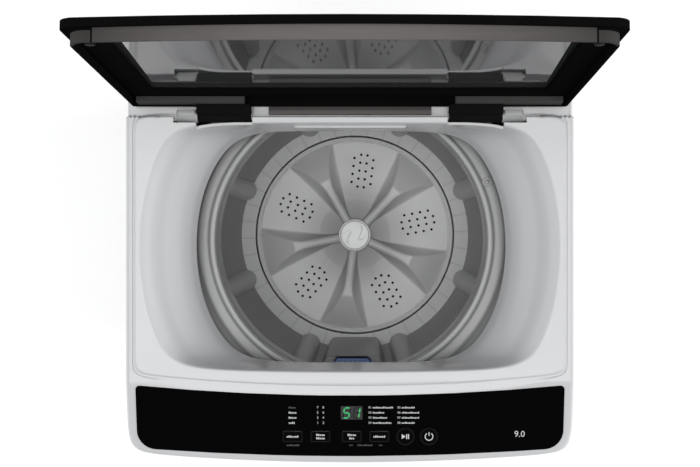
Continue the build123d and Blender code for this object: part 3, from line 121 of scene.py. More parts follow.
class Shader:
    """A material with one Principled surface, built from expressions."""

    def __init__(self, name):
        self.material = bpy.data.materials.new(name)
        self.material.use_nodes = True
        self.tree = self.material.node_tree
        self.tree.nodes.clear()
        self.surface = self.tree.nodes.new("ShaderNodeBsdfPrincipled")
        output = self.tree.nodes.new("ShaderNodeOutputMaterial")
        self.tree.links.new(self.surface.outputs[0], output.inputs[0])

    def node(self, kind, settings=None, inputs=(), output=0):
        """Any node: its settings are set first, then its inputs are given values or links."""
        made = self.tree.nodes.new(kind)
        for key, setting in (settings or {}).items():
            setattr(made, key, setting)
        pairs = inputs.items() if isinstance(inputs, dict) else enumerate(inputs)
        for key, item in pairs:
            if isinstance(item, Value):
                self.tree.links.new(item.socket, made.inputs[key])
            else:
                made.inputs[key].default_value = item
        return Value(self, made.outputs[output])

    def place(self):
        """Position on the piece, in metres."""
        return self.node("ShaderNodeTexCoord", output="Object")

    def axes(self, vector=None):
        """The three coordinates of a position as separate values."""
        split = self.tree.nodes.new("ShaderNodeSeparateXYZ")
        self.tree.links.new((vector or self.place()).socket, split.inputs[0])
        return [Value(self, socket) for socket in split.outputs]

    def noise(self, size, detail=3.0, stretch=(1, 1, 1)):
        """Noise from 0 to 1 whose grain is size metres, stretched along the axes."""
        where = self.node("ShaderNodeMapping", {}, {"Vector": self.place(), "Scale": stretch})
        return self.node("ShaderNodeTexNoise", {}, {"Vector": where, "Scale": 1 / size, "Detail": detail})

    def blend(self, first, second, amount):
        """Mix two colours."""
        colours = [c if isinstance(c, Value) else (*c, 1.0) for c in (first, second)]
        settings = {"data_type": "RGBA"}
        return self.node("ShaderNodeMix", settings, {0: amount, 6: colours[0], 7: colours[1]}, output=2)

    def bump(self, height, depth, strength=1.0):
        """Normal of a surface with the given height pattern, depth metres high."""
        return self.node("ShaderNodeBump", {}, {"Strength": strength, "Distance": depth, "Height": height})

    def fade(self, value, start, end, first, last, style="LINEAR"):
        """Go from first to last while the value goes from start to end."""
        stops = {0: value, 1: start, 2: end, 3: first, 4: last}
        return self.node("ShaderNodeMapRange", {"interpolation_type": style}, stops)

    def finish(self, **inputs):
        """Set the surface's inputs, named with underscores for spaces, and return the material."""
        for key, item in inputs.items():
            socket = self.surface.inputs[key.replace("_", " ")]
            if isinstance(item, Value):
                self.tree.links.new(item.socket, socket)
            else:
                socket.default_value = (*item, 1.0) if isinstance(item, tuple) and len(item) == 3 else item
        return self.material


# %% [markdown]
# ## Finishes
#
# Most of the machine is moulded plastic. Moulded plastic is never perfectly even: the gloss
# varies in slow clouds, and a fine skin of the mould shows as a bump far below a millimetre.
# One function makes all the plastics, with the gloss and the strength of that skin as
# arguments. Painted sheet has the orange peel of powder coat, and bare sheet has spangle.


# %% Plastics
def plastic(name, colour, gloss, cloud=0.04, skin=0.00002, grain=0.0012, coat=0.0, metal=0.0, shine=0.5):
    """Moulded plastic with slow clouds in its colour and gloss, and a fine mould skin."""
    shader = Shader(name)
    slow = shader.noise(0.11, 2.0)
    fine = shader.noise(grain, 2.0)
    darker = tuple(c * (1 - cloud) for c in colour)
    return shader.finish(
        Base_Color=shader.blend(darker, colour, slow),
        Roughness=gloss + (slow - 0.5) * (0.25 * gloss) + (fine - 0.5) * (0.12 * gloss),
        Metallic=metal,
        Specular_IOR_Level=shine,
        Coat_Weight=coat,
        Coat_Roughness=0.06,
        Normal=shader.bump(fine, skin),
    )


def painted(name, colour):
    """Powder coat on sheet steel: soft gloss with orange peel."""
    shader = Shader(name)
    peel = shader.noise(0.0022, 1.0)
    slow = shader.noise(0.3, 2.0)
    return shader.finish(
        Base_Color=shader.blend(tuple(c * 0.96 for c in colour), colour, slow),
        Roughness=0.27 + 0.1 * peel,
        Normal=shader.bump(peel, 0.00008),
        Coat_Weight=0.15,
    )


def metal(name, colour, rough, stretch=(1, 1, 1), size=0.002, depth=0.00002):
    """Bare metal with a grain drawn out along one axis."""
    shader = Shader(name)
    grain = shader.noise(size, 4.0, stretch)
    return shader.finish(
        Base_Color=shader.blend(tuple(c * 0.8 for c in colour), colour, grain),
        Metallic=1.0,
        Roughness=rough + 0.2 * (grain - 0.5),
        Normal=shader.bump(grain, depth),
    )


def spangled(name):
    """Galvanised sheet with its crystal spangle."""
    shader = Shader(name)
    where = shader.place()
    cells = shader.node("ShaderNodeTexVoronoi", {}, {"Vector": where, "Scale": 130.0}, output="Distance")
    grey = shader.node("ShaderNodeTexVoronoi", {}, {"Vector": where, "Scale": 130.0}, output="Color")
    level = shader.axes(grey)[0]
    return shader.finish(
        Base_Color=shader.blend((0.42, 0.44, 0.46), (0.68, 0.7, 0.71), level),
        Metallic=1.0,
        Roughness=0.36 + 0.2 * level,
        Normal=shader.bump(cells, 0.00003),
    )


finishes = {
    "white_plastic": plastic("white_plastic", (0.555, 0.56, 0.57), 0.16, cloud=0.02, coat=0.25),
    "white_paint": painted("white_paint", (0.63, 0.635, 0.645)),
    "galvanised_steel": spangled("galvanised_steel"),
    "black_gloss": plastic("black_gloss", (0.0022, 0.0022, 0.0025), 0.10, skin=0.000004, shine=0.0),
    "basket_steel": metal("basket_steel", (0.30, 0.30, 0.305), 0.38, stretch=(1, 1, 14), size=0.02),
    "grey_plastic": plastic("grey_plastic", (0.37, 0.373, 0.378), 0.30, coat=0.1),
    "pulsator_grey": plastic("pulsator_grey", (0.60, 0.605, 0.61), 0.24, coat=0.3),
    "dark_grey_plastic": plastic("dark_grey_plastic", (0.27, 0.27, 0.273), 0.34),
    "filter_blue": plastic("filter_blue", (0.07, 0.14, 0.36), 0.4),
    "filter_pale": plastic("filter_pale", (0.30, 0.40, 0.62), 0.4),
    "tub_plastic": plastic("tub_plastic", (0.55, 0.56, 0.55), 0.45, skin=0.0001, grain=0.003),
    "base_plastic": plastic("base_plastic", (0.20, 0.21, 0.22), 0.5, skin=0.0001),
    "rubber": plastic("rubber", (0.012, 0.012, 0.012), 0.7, skin=0.0001, shine=0.1),
    "cast_aluminium": metal("cast_aluminium", (0.62, 0.63, 0.64), 0.48, depth=0.0001),
    "shaft_steel": metal("shaft_steel", (0.6, 0.61, 0.62), 0.25, stretch=(1, 1, 0.1)),
    "zinc_steel": metal("zinc_steel", (0.66, 0.66, 0.62), 0.35),
    "key_black": plastic("key_black", (0.003, 0.003, 0.0033), 0.14, skin=0.00001, shine=0.0),
    "board_green": plastic("board_green", (0.02, 0.12, 0.05), 0.4),
    "valve_white": plastic("valve_white", (0.7, 0.7, 0.68), 0.4),
}
print(len(finishes), "finishes")


# %% [markdown]
# The lid's window is smoked safety glass. Seen at a low angle it is a dark mirror, so it is
# made as polished black with a trace of smears, which break the mirror up the way wiped
# glass does.

# %% Smoked glass
def smoked_glass(name, rough):
    shader = Shader(name)
    smear = shader.noise(0.05, 5.0, (1, 1, 3))
    return shader.finish(
        Base_Color=shader.blend((0.030, 0.031, 0.032), (0.048, 0.049, 0.051), smear),
        Roughness=rough + 0.05 * (smear ** 3.0),
        IOR=1.52,
        Coat_Weight=0.5,
        Coat_Roughness=0.03,
    )


finishes["dark_glass"] = smoked_glass("dark_glass", 0.03)

# %% [markdown]
# The lid's mouldings are black, but the faces that point up catch the light as a warm grey
# sheen, and that sheen is painted into their colour. A finish can know where a face lies:
# position is split along the open lid and through it, and the painted sheen is laid where
# those two numbers fall in the right band.

# %% Black mouldings of the lid, with a painted sheen on the faces that point up
hinge_line = 0.151
hinge_height = 0.8754
lean = math.radians(5.7)
seam_half = 0.0009
corner_reach = 0.024
corner_share = 0.30
flange_depth = 0.0024
fading_rate = 11.0


def lid_moulding(name, dark, sheen, up_band, through_band, bow=0.0, corner=None):
    """Black plastic with a painted sheen inside a band along the lid and through it."""
    shader = Shader(name)
    x, y, z = shader.axes()
    behind = y - hinge_line
    above = z - hinge_height
    up = behind * math.sin(lean) + above * math.cos(lean) + x * x * bow
    through = behind * math.cos(lean) - above * math.sin(lean)
    inside = None
    for measure, (low, high) in ((up, up_band), (through, through_band)):
        start = measure.math("GREATER_THAN", low)
        end = measure.math("LESS_THAN", high)
        inside = start * end if inside is None else inside * start * end
    # Near the corners the painted sheen is weaker and parted from the band by a dark seam; along the band
    # it fades towards the sides.
    if corner:
        side = x.math("ABSOLUTE")
        seam = side.math("COMPARE", corner, seam_half)
        past = side.math("GREATER_THAN", corner)
        high = above.math("GREATER_THAN", up_band[0] - corner_reach)
        deep = through.math("LESS_THAN", through_band[1] - flange_depth)
        fading = 1.0 - x * x * fading_rate
        inside = (inside * fading * (1.0 - past) + past * high * deep * corner_share) * (1.0 - seam)
    fine = shader.noise(0.0011, 2.0)
    sheen_streaks = shader.noise(0.05, 3.0, (1, 14, 14))
    # The painted sheen is streaked by a stretched noise.
    lit = shader.blend(tuple(c * 0.8 for c in sheen), sheen, sheen_streaks)
    return shader.finish(
        Base_Color=shader.blend(dark, lit, inside),
        Roughness=0.24 + 0.04 * fine,
        Specular_IOR_Level=0.0,
        Normal=shader.bump(fine, 0.00001),
    )


# Colours of the painted sheen on the lid's frame and on its hinge covers.
painted_frame_sheen = (0.17, 0.158, 0.155)
painted_hinge_sheen = (0.07, 0.068, 0.067)
finishes["lid_black"] = lid_moulding(
    "lid_black",
    dark=(0.0045, 0.0045, 0.0047),
    sheen=painted_frame_sheen,
    up_band=(0.322, 0.3300),
    through_band=(0.0085, 0.0242),
    bow=0.2367,
    corner=0.2365,
)
finishes["warm_grey"] = lid_moulding(
    "hinge_black",
    dark=(0.008, 0.008, 0.0082),
    sheen=painted_hinge_sheen,
    up_band=(0.0125, 0.060),
    through_band=(0.0112, 0.0260),
)
print("the lid leans", round(math.degrees(lean), 1), "degrees past upright")

# %% [markdown]
# Every part of the construction names the finish it needs. The parts that stay hidden, such
# as the motor and the tub, are good enough as they are, so they only get their finish here.

# %% Give every part of the frame its finish
def wear(mesh, finish):
    """Leave the mesh with this finish alone."""
    mesh.materials.clear()
    mesh.materials.append(finish)


for node, piece in nodes.items():
    wear(piece.data, finishes[slots[node]])
print(len(nodes), "parts have a finish")

# %% [markdown]
# ## Helpers for meshes
#
# A moulded part has no sharp edge: light catches a radius of half a millimetre or more along
# every edge. The parts of the frame are exact, with sharp edges, so a part that shows is
# copied, its loose triangles are merged, and a bevel rounds what is sharper than a set angle.


# %% Make, smooth and place a piece
def add_object(name, data):
    """An object with this data, put in the scene."""
    made = bpy.data.objects.new(name, data)
    bpy.context.scene.collection.objects.link(made)
    return made


def evaluated_mesh(piece):
    """A plain mesh of the piece as its modifiers leave it."""
    graph = bpy.context.evaluated_depsgraph_get()
    return bpy.data.meshes.new_from_object(piece.evaluated_get(graph))


def outward(piece):
    """Turn the faces of a closed mesh to point outwards."""
    shape = bmesh.new()
    shape.from_mesh(piece.data)
    bmesh.ops.recalc_face_normals(shape, faces=shape.faces)
    shape.to_mesh(piece.data)
    shape.free()


def circle(radius, angles, height):
    """Points round the tub's axis; the radius and the height may change with the angle."""
    level = np.broadcast_to(height, np.shape(angles))
    return np.stack([radius * np.cos(angles), radius * np.sin(angles), level], -1)


def smooth_faces(mesh, sharp_angle):
    """Shade smooth, but keep edges sharper than the angle crisp."""
    shape = bmesh.new()
    shape.from_mesh(mesh)
    limit = math.radians(sharp_angle)
    for edge in shape.edges:
        edge.smooth = len(edge.link_faces) == 2 and edge.calc_face_angle(0.0) < limit
    for face in shape.faces:
        face.smooth = True
    shape.to_mesh(mesh)
    shape.free()


def settle(piece, name, body, slot, replaced=(), sharp_angle=40):
    """Apply the modifiers, then name the piece and say where it belongs."""
    mesh = evaluated_mesh(piece)
    piece.modifiers.clear()
    piece.data = mesh
    piece.name = name
    mesh.name = name
    smooth_faces(mesh, sharp_angle)
    if not mesh.materials:
        mesh.materials.append(finishes[slot])
    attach(piece, body)
    if replaced:
        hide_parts(*replaced)
    return piece


def new_piece(name, vertices, faces, finish):
    """A mesh object from lists of vertices, in metres, and faces."""
    mesh = bpy.data.meshes.new(name)
    mesh.from_pydata([tuple(v) for v in vertices], [], faces)
    mesh.materials.append(finish)
    return add_object(name, mesh)


def softened(node, radius, segments=2, angle=35, level=0.8):
    """A copy of a frame part with rounded edges; faces within the level angle are joined."""
    source = nodes[node]
    shape = bmesh.new()
    shape.from_mesh(source.data)
    bmesh.ops.remove_doubles(shape, verts=shape.verts, dist=0.00001)
    if level:
        flat = math.radians(level)
        bmesh.ops.dissolve_limit(shape, angle_limit=flat, verts=shape.verts, edges=shape.edges)
    mesh = bpy.data.meshes.new(node + "_skin")
    shape.to_mesh(mesh)
    shape.free()
    mesh.materials.append(finishes[slots[node]])
    piece = add_object(node + "_skin", mesh)
    bevel = piece.modifiers.new("edges", "BEVEL")
    bevel.width = radius
    bevel.segments = segments
    bevel.limit_method = "ANGLE"
    bevel.angle_limit = math.radians(angle)
    bevel.use_clamp_overlap = True
    return settle(piece, node + "_skin", body_of[node], slots[node], [node], 30)


def ring_mesh(name, rings, finish):
    """A closed ring from an array of outlines, profile step by turn step by xyz."""
    steps, turns = rings.shape[:2]
    faces = []
    for i in range(steps):
        below = ((i + 1) % steps) * turns
        for j in range(turns):
            k = (j + 1) % turns
            faces.append((i * turns + j, i * turns + k, below + k, below + j))
    piece = new_piece(name, rings.reshape(-1, 3), faces, finish)
    outward(piece)
    return piece


def turned(name, profile, finish, turns=256):
    """A solid of revolution about the tub's axis, from (radius, height) points in metres."""
    angle = np.linspace(0, 2 * np.pi, turns, endpoint=False)
    rings = [circle(r, angle, z) for r, z in profile]
    return ring_mesh(name, np.array(rings), finish)


def rounded_profile(points, radius, steps=4):
    """Cut every corner of a closed profile with a small arc."""
    result = []
    count = len(points)
    for i in range(count):
        here = Vector(points[i])
        before = Vector(points[i - 1]) - here
        after = Vector(points[(i + 1) % count]) - here
        reach = min(radius, 0.45 * before.length, 0.45 * after.length)
        start = here + before.normalized() * reach
        end = here + after.normalized() * reach
        for k in range(steps + 1):
            t = k / steps
            result.append(tuple(start * (1 - t) ** 2 + here * 2 * t * (1 - t) + end * t ** 2))
    return result


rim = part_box("top_cover")[1].z
basket_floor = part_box("basket_base")[1].z
print("rim at", round(rim, 4), "basket floor at", round(basket_floor, 4))

# %% [markdown]
# ## The bowl
#
# The top cover is one large moulding: a flat border with a groove and a raised ridge, and a
# bowl that guides the laundry down to the tub. Its outline changes from a rounded rectangle
# at the rim to a circle at the lip. Each level is an outline found by the same rule, so the
# whole cover is one grid of outlines, and its curvature is smooth everywhere.

# %% Outlines of the cover
turns = 720
cover_low, cover_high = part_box("top_cover")
half_width = cover_high.x
front = -cover_low.y
rear = cover_high.y
bow = 0.013
centre_y = -0.007
deck = rim - 0.003
rear_deck = rim - 0.014
deck_break = 0.168
deck_fall = math.tan(math.radians(9.5))
turn = np.linspace(0, 2 * np.pi, turns, endpoint=False)
toward = np.stack([np.cos(turn), np.sin(turn)], -1)


def outline(half_x, front_y, rear_y, front_bow, sharpness, reach=10.0):
    """Outline round the bowl's centre: a box with soft corners and a bowed front."""
    near = np.zeros(turns)
    far = np.full(turns, 0.5)
    for _ in range(40):
        middle = (near + far) / 2
        x = middle * toward[:, 0]
        y = middle * toward[:, 1]
        front_limit = front_y + centre_y - front_bow * np.clip(x / half_x, -1, 1) ** 2
        limit = np.where(y < 0, front_limit, rear_y - centre_y)
        inside = np.abs(x / half_x) ** sharpness + np.abs(y / limit) ** sharpness
        inside = inside + (np.hypot(x, y) / reach) ** sharpness < 1
        near = np.where(inside, middle, near)
        far = np.where(inside, far, middle)
    return near[:, None] * toward + [0, centre_y]


def deck_height(y):
    """Height of the border: level, falling over the panel, lower behind the hinge."""
    level = deck - np.clip(-y - deck_break, 0, None) * deck_fall
    return np.where(y > hinge_line - 0.0005, rear_deck, level)


def at_height(plan, z):
    """Lift a plan outline to one height, or to a height for each point."""
    return np.concatenate([plan, np.broadcast_to(np.asarray(z, float), (turns,))[:, None]], -1)


# %% The cover as one grid
wall = 0.003
edge_round = 0.005
groove_depth = 0.0012
skirt_foot = cover_low.z + 0.04
edge_sharpness = 24
ridge_sharpness = 34
mouth_sharpness = 26
edge = outline(half_width, front, rear, bow, edge_sharpness)
edge_in = outline(half_width - edge_round, front - edge_round, rear - edge_round, bow, edge_sharpness)
ridge_foot = outline(0.2590, 0.1735, hinge_line - 0.0004, 0.0145, ridge_sharpness)
ridge_top = outline(0.2565, 0.1710, hinge_line - 0.0022, 0.0145, ridge_sharpness)
ridge_in = outline(0.2552, 0.1650, hinge_line - 0.0045, 0.0125, mouth_sharpness)

cover_rows = [at_height(edge, skirt_foot)]
cover_rows.append(at_height(edge, deck_height(edge[:, 1]) - edge_round))
for k in range(1, 5):
    a = k / 5 * math.pi / 2
    plan = edge + (edge_in - edge) * (1 - math.cos(a))
    cover_rows.append(at_height(plan, deck_height(plan[:, 1]) - edge_round * (1 - math.sin(a))))
cover_rows.append(at_height(edge_in, deck_height(edge_in[:, 1])))
groove = outline(0.2612, 0.1760, hinge_line + 0.002, 0.0145, ridge_sharpness)
for k in range(1, 15):
    plan = edge_in + (groove - edge_in) * (k / 15)
    cover_rows.append(at_height(plan, deck_height(plan[:, 1])))
cover_rows.append(at_height(groove, deck_height(groove[:, 1]) - groove_depth))
cover_rows.append(at_height(ridge_foot, deck_height(ridge_foot[:, 1]) - groove_depth))
foot_height = deck_height(ridge_foot[:, 1])
for k in range(1, 6):
    a = k / 5 * math.pi / 2
    plan = ridge_foot + (ridge_top - ridge_foot) * (1 - math.cos(a))
    top = rim - np.clip(-plan[:, 1] - deck_break, 0, None) * deck_fall
    cover_rows.append(at_height(plan, foot_height + (top - foot_height) * math.sin(a)))
cover_rows.append(at_height(ridge_in, rim - 0.0004))

# Levels of the bowl in mm: depth, half width, corner reach, front and rear distance.
bowl_table = np.array([
    [0.2, 253.5, 262.0, 158.0, 143.5],
    [0.8, 251.5, 258.0, 156.5, 142.2],
    [2.8, 247.5, 255.0, 155.6, 141.4],
    [9.0, 242.0, 249.0, 155.4, 141.1],
    [17.0, 236.5, 243.0, 155.4, 140.8],
    [28.0, 229.5, 236.0, 155.5, 140.4],
    [39.0, 220.5, 227.0, 155.6, 140.0],
    [52.0, 209.5, 216.5, 155.7, 139.6],
    [66.0, 201.0, 206.0, 155.8, 139.3],
    [80.0, 196.5, 201.0, 155.8, 139.0],
])
corner_power = 14
bowl_bow = 0.0075
widths, reaches = bowl_table[:, 1], bowl_table[:, 2]
bowl_table[:, 1] = (widths ** -corner_power - reaches ** -corner_power) ** (-1 / corner_power)
table_rows = len(bowl_table)
samples = 40
fine_steps = np.linspace(0, table_rows - 1, samples * (table_rows - 1) + 1)
window = np.ones(samples - 9) / (samples - 9)
bowl_curves = []
for column in bowl_table.T * MM:
    dense = np.interp(fine_steps, np.arange(table_rows), column)
    first = 2 * dense[0] - dense[1:samples][::-1]
    last = 2 * dense[-1] - dense[-samples:-1][::-1]
    smooth = np.convolve(np.concatenate([first, dense, last]), window, "same")
    bowl_curves.append(smooth[samples - 1:samples - 1 + len(dense)])


def bowl_level(t, grow=0.0):
    """Outline and height of the bowl at t, from 0 at the rim to 1 at the lip."""
    at = t * (len(fine_steps) - 1)
    level = [float(np.interp(at, np.arange(len(fine_steps)), curve)) for curve in bowl_curves]
    depth, half_x, reach, front_y, rear_y = level
    front_bow = bowl_bow * (1 - t)
    sizes = (half_x + grow, front_y + grow, rear_y + grow)
    return outline(*sizes, front_bow, corner_power, reach + grow), rim - depth


bowl_steps = 44
for k in range(bowl_steps + 1):
    plan, height = bowl_level(k / bowl_steps)
    cover_rows.append(at_height(plan, height))
lip_plan, lip_height = bowl_level(1.0, -0.0005)
cover_rows.append(at_height(lip_plan, lip_height - 0.0022))
lip_back, _ = bowl_level(1.0, 0.0025)
cover_rows.append(at_height(lip_back, lip_height - 0.0030))
for k in range(9, 1, -1):
    plan, height = bowl_level(k / 9, wall)
    cover_rows.append(at_height(plan, min(height, rim - 0.008) - 0.001))
under = outline(half_width - wall, front - wall, rear - wall, bow, edge_sharpness)
under_in = outline(0.256, 0.166, hinge_line - 0.006, 0.012, mouth_sharpness)
for k in range(12):
    plan = under_in + (under - under_in) * (k / 11)
    cover_rows.append(at_height(plan, deck_height(plan[:, 1] + 0.003) - wall - 0.003))
cover_rows.append(at_height(under, skirt_foot))
cover_rows = np.array(cover_rows)
cover = ring_mesh("cover_shape", cover_rows, finishes["white_plastic"])
print("cover", cover_rows.shape)

# %% [markdown]
# The cover is one shell, so its openings are cut through it like the core pins of the real
# mould would form them: a window for the detergent drawer, and two pockets at the rear where
# the lid's hinge barrels turn.


# %% Cut the openings of the cover
def block(low, high):
    """A plain box as a mesh object, used only to cut with."""
    xs, ys, zs = zip(low, high)
    corners = [(x, y, z) for x in xs for y in ys for z in zs]
    faces = [(0, 1, 3, 2), (4, 6, 7, 5), (0, 4, 5, 1), (2, 3, 7, 6), (0, 2, 6, 4), (1, 5, 7, 3)]
    return new_piece("cutter", corners, faces, finishes["white_plastic"])


def cut(piece, cutters):
    """Subtract the cutters from the piece and remove them."""
    for cutter in cutters:
        boolean = piece.modifiers.new("cut", "BOOLEAN")
        boolean.object = cutter
        boolean.solver = "EXACT"
    mesh = evaluated_mesh(piece)
    piece.modifiers.clear()
    piece.data = mesh
    for cutter in cutters:
        bpy.data.objects.remove(cutter)


front_low, front_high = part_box("detergent_drawer")
gap = 0.001
window_low = (front_low.x - gap, front_low.y - 0.03, front_low.z - gap)
window_high = (front_high.x + gap, front_low.y + 0.05, front_high.z + gap)
openings = [block(window_low, window_high)]
pocket_inner = 0.117
pocket_outer = 0.212
pocket_reach = 0.0093
pocket_ahead = 0.0085
pocket_depth = 0.0105
arm_outer = 0.185
arm_ahead = 0.020
for side in (-1, 1):
    for outer_x, ahead in ((pocket_outer, pocket_ahead), (arm_outer, arm_ahead)):
        x_pair = sorted((side * pocket_inner, side * outer_x))
        low = (x_pair[0], hinge_line - ahead, rim - pocket_depth)
        high = (x_pair[1], hinge_line + pocket_reach, rim + 0.02)
        openings.append(block(low, high))
cut(cover, openings)
settle(cover, "cover_skin", "cabinet", "white_plastic", ["top_cover"], 38)
print("cover triangles", len(cover.data.polygons))

# %% [markdown]
# ## The pulsator
#
# The pulsator is a shallow dish with five arms. Each arm is a narrow crest that runs out
# from the hub and then splits, like a fin opening into a triangular face. It is one height
# field in polar coordinates: a dish, plus an arm whose cross-section is flat on its crest
# and concave down its flanks. A little blurring rounds every edge, as the mould does.

# %% The pulsator's height field
arms = 5
arm_turn = math.radians(47)
edge_radius = 157.6
edge_height = basket_floor / MM - 2.0
rim_radii = [150.4, 151.0, 152.8, 153.3, 154.5, 156.0, 157.0, edge_radius]
radii = np.concatenate([np.linspace(21, 149.6, 128), rim_radii])
steps = 660
angles = np.arange(steps) * 2 * np.pi / steps
radius, angle = np.meshgrid(radii, angles, indexing="ij")
fold = (angle - arm_turn + np.pi / arms) % (2 * np.pi / arms) - np.pi / arms
along = radius * np.cos(fold)
across = np.abs(radius * np.sin(fold))

dish = 14.0 * np.exp(-(radius - 24) / 25) + 1.4 * np.clip((radius - 118) / 34, 0, 1) ** 2
crest = 6.6 + 31.0 * np.clip((along - 80) / 67, 0, 1) ** 1.7
crest_height = 20.0 - 17.0 * np.clip((along - 98) / 50, 0, 1) ** 1.15
crest_height = np.maximum(crest_height - 3.0 * np.clip((40 - along) / 20, 0, 1), dish)
base = 6.0 + 33.0 * (along - 32) / 115
base = np.maximum(base, crest + 1.5)
slide = np.clip((across - crest) / (base - crest), 0, 1)
rounding = 1.6 * np.clip(across / crest, 0, 1) ** 2 * np.clip((118 - along) / 60, 0.25, 1)
height = dish + np.clip(crest_height - rounding - dish, 0, None) * (1 - slide) ** 1.7
arm_end = 150.0
height = np.where(along < arm_end, height, dish)
ring_start = 153.2
height = np.where(radius > 150.8, 0.2, height)
height = np.where(radius > ring_start, 1.6, height)


def blurred(field, width):
    """Average neighbours, in and out and round, to round every edge of the field."""
    for _ in range(width):
        rolled = (np.roll(field, 1, 1) + np.roll(field, -1, 1) + 2 * field) / 4
        inner = np.vstack([rolled[:1], rolled[:-1]])
        outer = np.vstack([rolled[1:], rolled[-1:]])
        field = (inner + outer + 2 * rolled) / 4
    return field


inside = radii < 149.5
height[inside] = blurred(height[inside], 2)
surface = circle(radius, angle, edge_height + height) * MM
below = [
    (edge_radius, -1.5),
    (edge_radius, -13.0),
    (edge_radius - 3, -13.0),
    (edge_radius - 3, -3.0),
    (80.0, 1.0),
    (21.0, 8.0),
]
under_rows = np.array([circle(r, angles, edge_height + z) * MM for r, z in below])
pulsator_rows = np.concatenate([surface, under_rows])
pulsator = ring_mesh("pulsator_shape", pulsator_rows, finishes["pulsator_grey"])
print("pulsator rises", round(float(height.max()), 1), "mm")

# %% [markdown]
# Water is thrown through the pulsator by rows of small holes between the arms. One cutter is
# drawn by a Geometry Nodes tree: points of a grid, a thin post on each point, the whole
# cluster repeated round the axis. Moving one number changes every cluster.


# %% Clusters of holes drawn by Geometry Nodes
def geometry_tree(name, sockets):
    """A node group with named inputs: (name, kind, value)."""
    tree = bpy.data.node_groups.new(name, "GeometryNodeTree")
    tree.interface.new_socket("Geometry", in_out="INPUT", socket_type="NodeSocketGeometry")
    for label, kind, start in sockets:
        made = tree.interface.new_socket(label, in_out="INPUT", socket_type=kind)
        if start is not None:
            made.default_value = start
    tree.interface.new_socket("Geometry", in_out="OUTPUT", socket_type="NodeSocketGeometry")
    return tree


def add_node(tree, kind, settings=None, links=None):
    """One node of a tree; links gives each input a value or a socket."""
    made = tree.nodes.new(kind)
    for key, setting in (settings or {}).items():
        setattr(made, key, setting)
    for key, item in (links or {}).items():
        if isinstance(item, bpy.types.NodeSocket):
            tree.links.new(item, made.inputs[key])
        else:
            made.inputs[key].default_value = item
    return made


def run_tree(tree, settings, name):
    """Put the tree on a new object with these input values and return the object it makes."""
    carrier = add_object(name, bpy.data.meshes.new(name))
    modifier = carrier.modifiers.new("nodes", "NODES")
    modifier.node_group = tree
    for item in tree.interface.items_tree:
        if item.item_type == "SOCKET" and item.in_out == "INPUT" and item.name in settings:
            modifier[item.identifier] = settings[item.name]
    carrier.data = evaluated_mesh(carrier)
    carrier.modifiers.clear()
    return carrier


def end_tree(tree, geometry, finish):
    """Make the copies real, give them their finish and pass them out of the tree."""
    real = add_node(tree, "GeometryNodeRealizeInstances", None, {0: geometry})
    finished = add_node(tree, "GeometryNodeSetMaterial", None, {
        "Geometry": real.outputs[0],
        "Material": finish,
    })
    leave = tree.nodes.new("NodeGroupOutput")
    tree.links.new(finished.outputs[0], leave.inputs[0])


def repeat_round(tree, source, count, radius, start_angle):
    """Copies of an instance source on a circle about the axis, each turned outward."""
    circle = add_node(tree, "GeometryNodeMeshCircle", None, {"Vertices": count, "Radius": radius})
    index = add_node(tree, "GeometryNodeInputIndex")
    turn_by = add_node(tree, "ShaderNodeMath", {"operation": "MULTIPLY"}, {0: index.outputs[0]})
    turn_by.inputs[1].default_value = 2 * math.pi / count
    started = add_node(tree, "ShaderNodeMath", {"operation": "ADD"}, {0: turn_by.outputs[0]})
    started.inputs[1].default_value = start_angle
    spin = add_node(tree, "ShaderNodeCombineXYZ", None, {2: started.outputs[0]})
    place = add_node(tree, "FunctionNodeEulerToRotation", None, {0: spin.outputs[0]})
    points = add_node(
        tree,
        "GeometryNodeInstanceOnPoints",
        None,
        {"Points": circle.outputs["Mesh"], "Instance": source, "Rotation": place.outputs[0]},
    )
    return points.outputs[0]


hole_step = 0.013
hole_row = 0.0103
hole_radius = 0.0021
cluster_middle = 0.104
cluster_turn = math.radians(11.2)
holes = geometry_tree("holes", [
    ("Post Radius", "NodeSocketFloat", hole_radius),
    ("Cluster Middle", "NodeSocketFloat", cluster_middle),
    ("Finish", "NodeSocketMaterial", None),
])
entry = holes.nodes.new("NodeGroupInput")
post = add_node(holes, "GeometryNodeMeshCylinder", None, {
    "Vertices": 16,
    "Radius": entry.outputs["Post Radius"],
    "Depth": 0.05,
})
grid = add_node(holes, "GeometryNodeMeshGrid", None, {
    "Size X": 4 * hole_step,
    "Size Y": 3 * hole_row,
    "Vertices X": 5,
    "Vertices Y": 4,
})
where = add_node(holes, "GeometryNodeInputPosition")
split = add_node(holes, "ShaderNodeSeparateXYZ", None, {0: where.outputs[0]})
far_y = add_node(holes, "ShaderNodeMath", {"operation": "ABSOLUTE"}, {0: split.outputs[1]})
outer_row = add_node(holes, "FunctionNodeCompare", {"operation": "GREATER_THAN"}, {
    0: far_y.outputs[0],
    1: hole_row,
})
staggered = add_node(holes, "GeometryNodeSetPosition", None, {
    "Geometry": grid.outputs[0],
    "Selection": outer_row.outputs[0],
    "Offset": (hole_step / 2, 0, 0),
})
past_end = add_node(holes, "FunctionNodeCompare", {"operation": "GREATER_THAN"}, {
    0: split.outputs[0],
    1: 2.2 * hole_step,
})
trimmed = add_node(holes, "GeometryNodeDeleteGeometry", {"domain": "POINT"}, {
    "Geometry": staggered.outputs[0],
    "Selection": past_end.outputs[0],
})
posts = add_node(holes, "GeometryNodeInstanceOnPoints", None, {
    "Points": trimmed.outputs[0],
    "Instance": post.outputs["Mesh"],
})
offset = add_node(holes, "ShaderNodeCombineXYZ", None, {
    0: entry.outputs["Cluster Middle"],
    2: basket_floor,
})
moved = add_node(holes, "GeometryNodeTransform", None, {
    "Geometry": posts.outputs[0],
    "Translation": offset.outputs[0],
})
wrapped = add_node(holes, "GeometryNodeGeometryToInstance", None, {0: moved.outputs[0]})
on_axis = 0.000001
clusters = repeat_round(holes, wrapped.outputs[0], arms, on_axis, cluster_turn)
end_tree(holes, clusters, entry.outputs["Finish"])
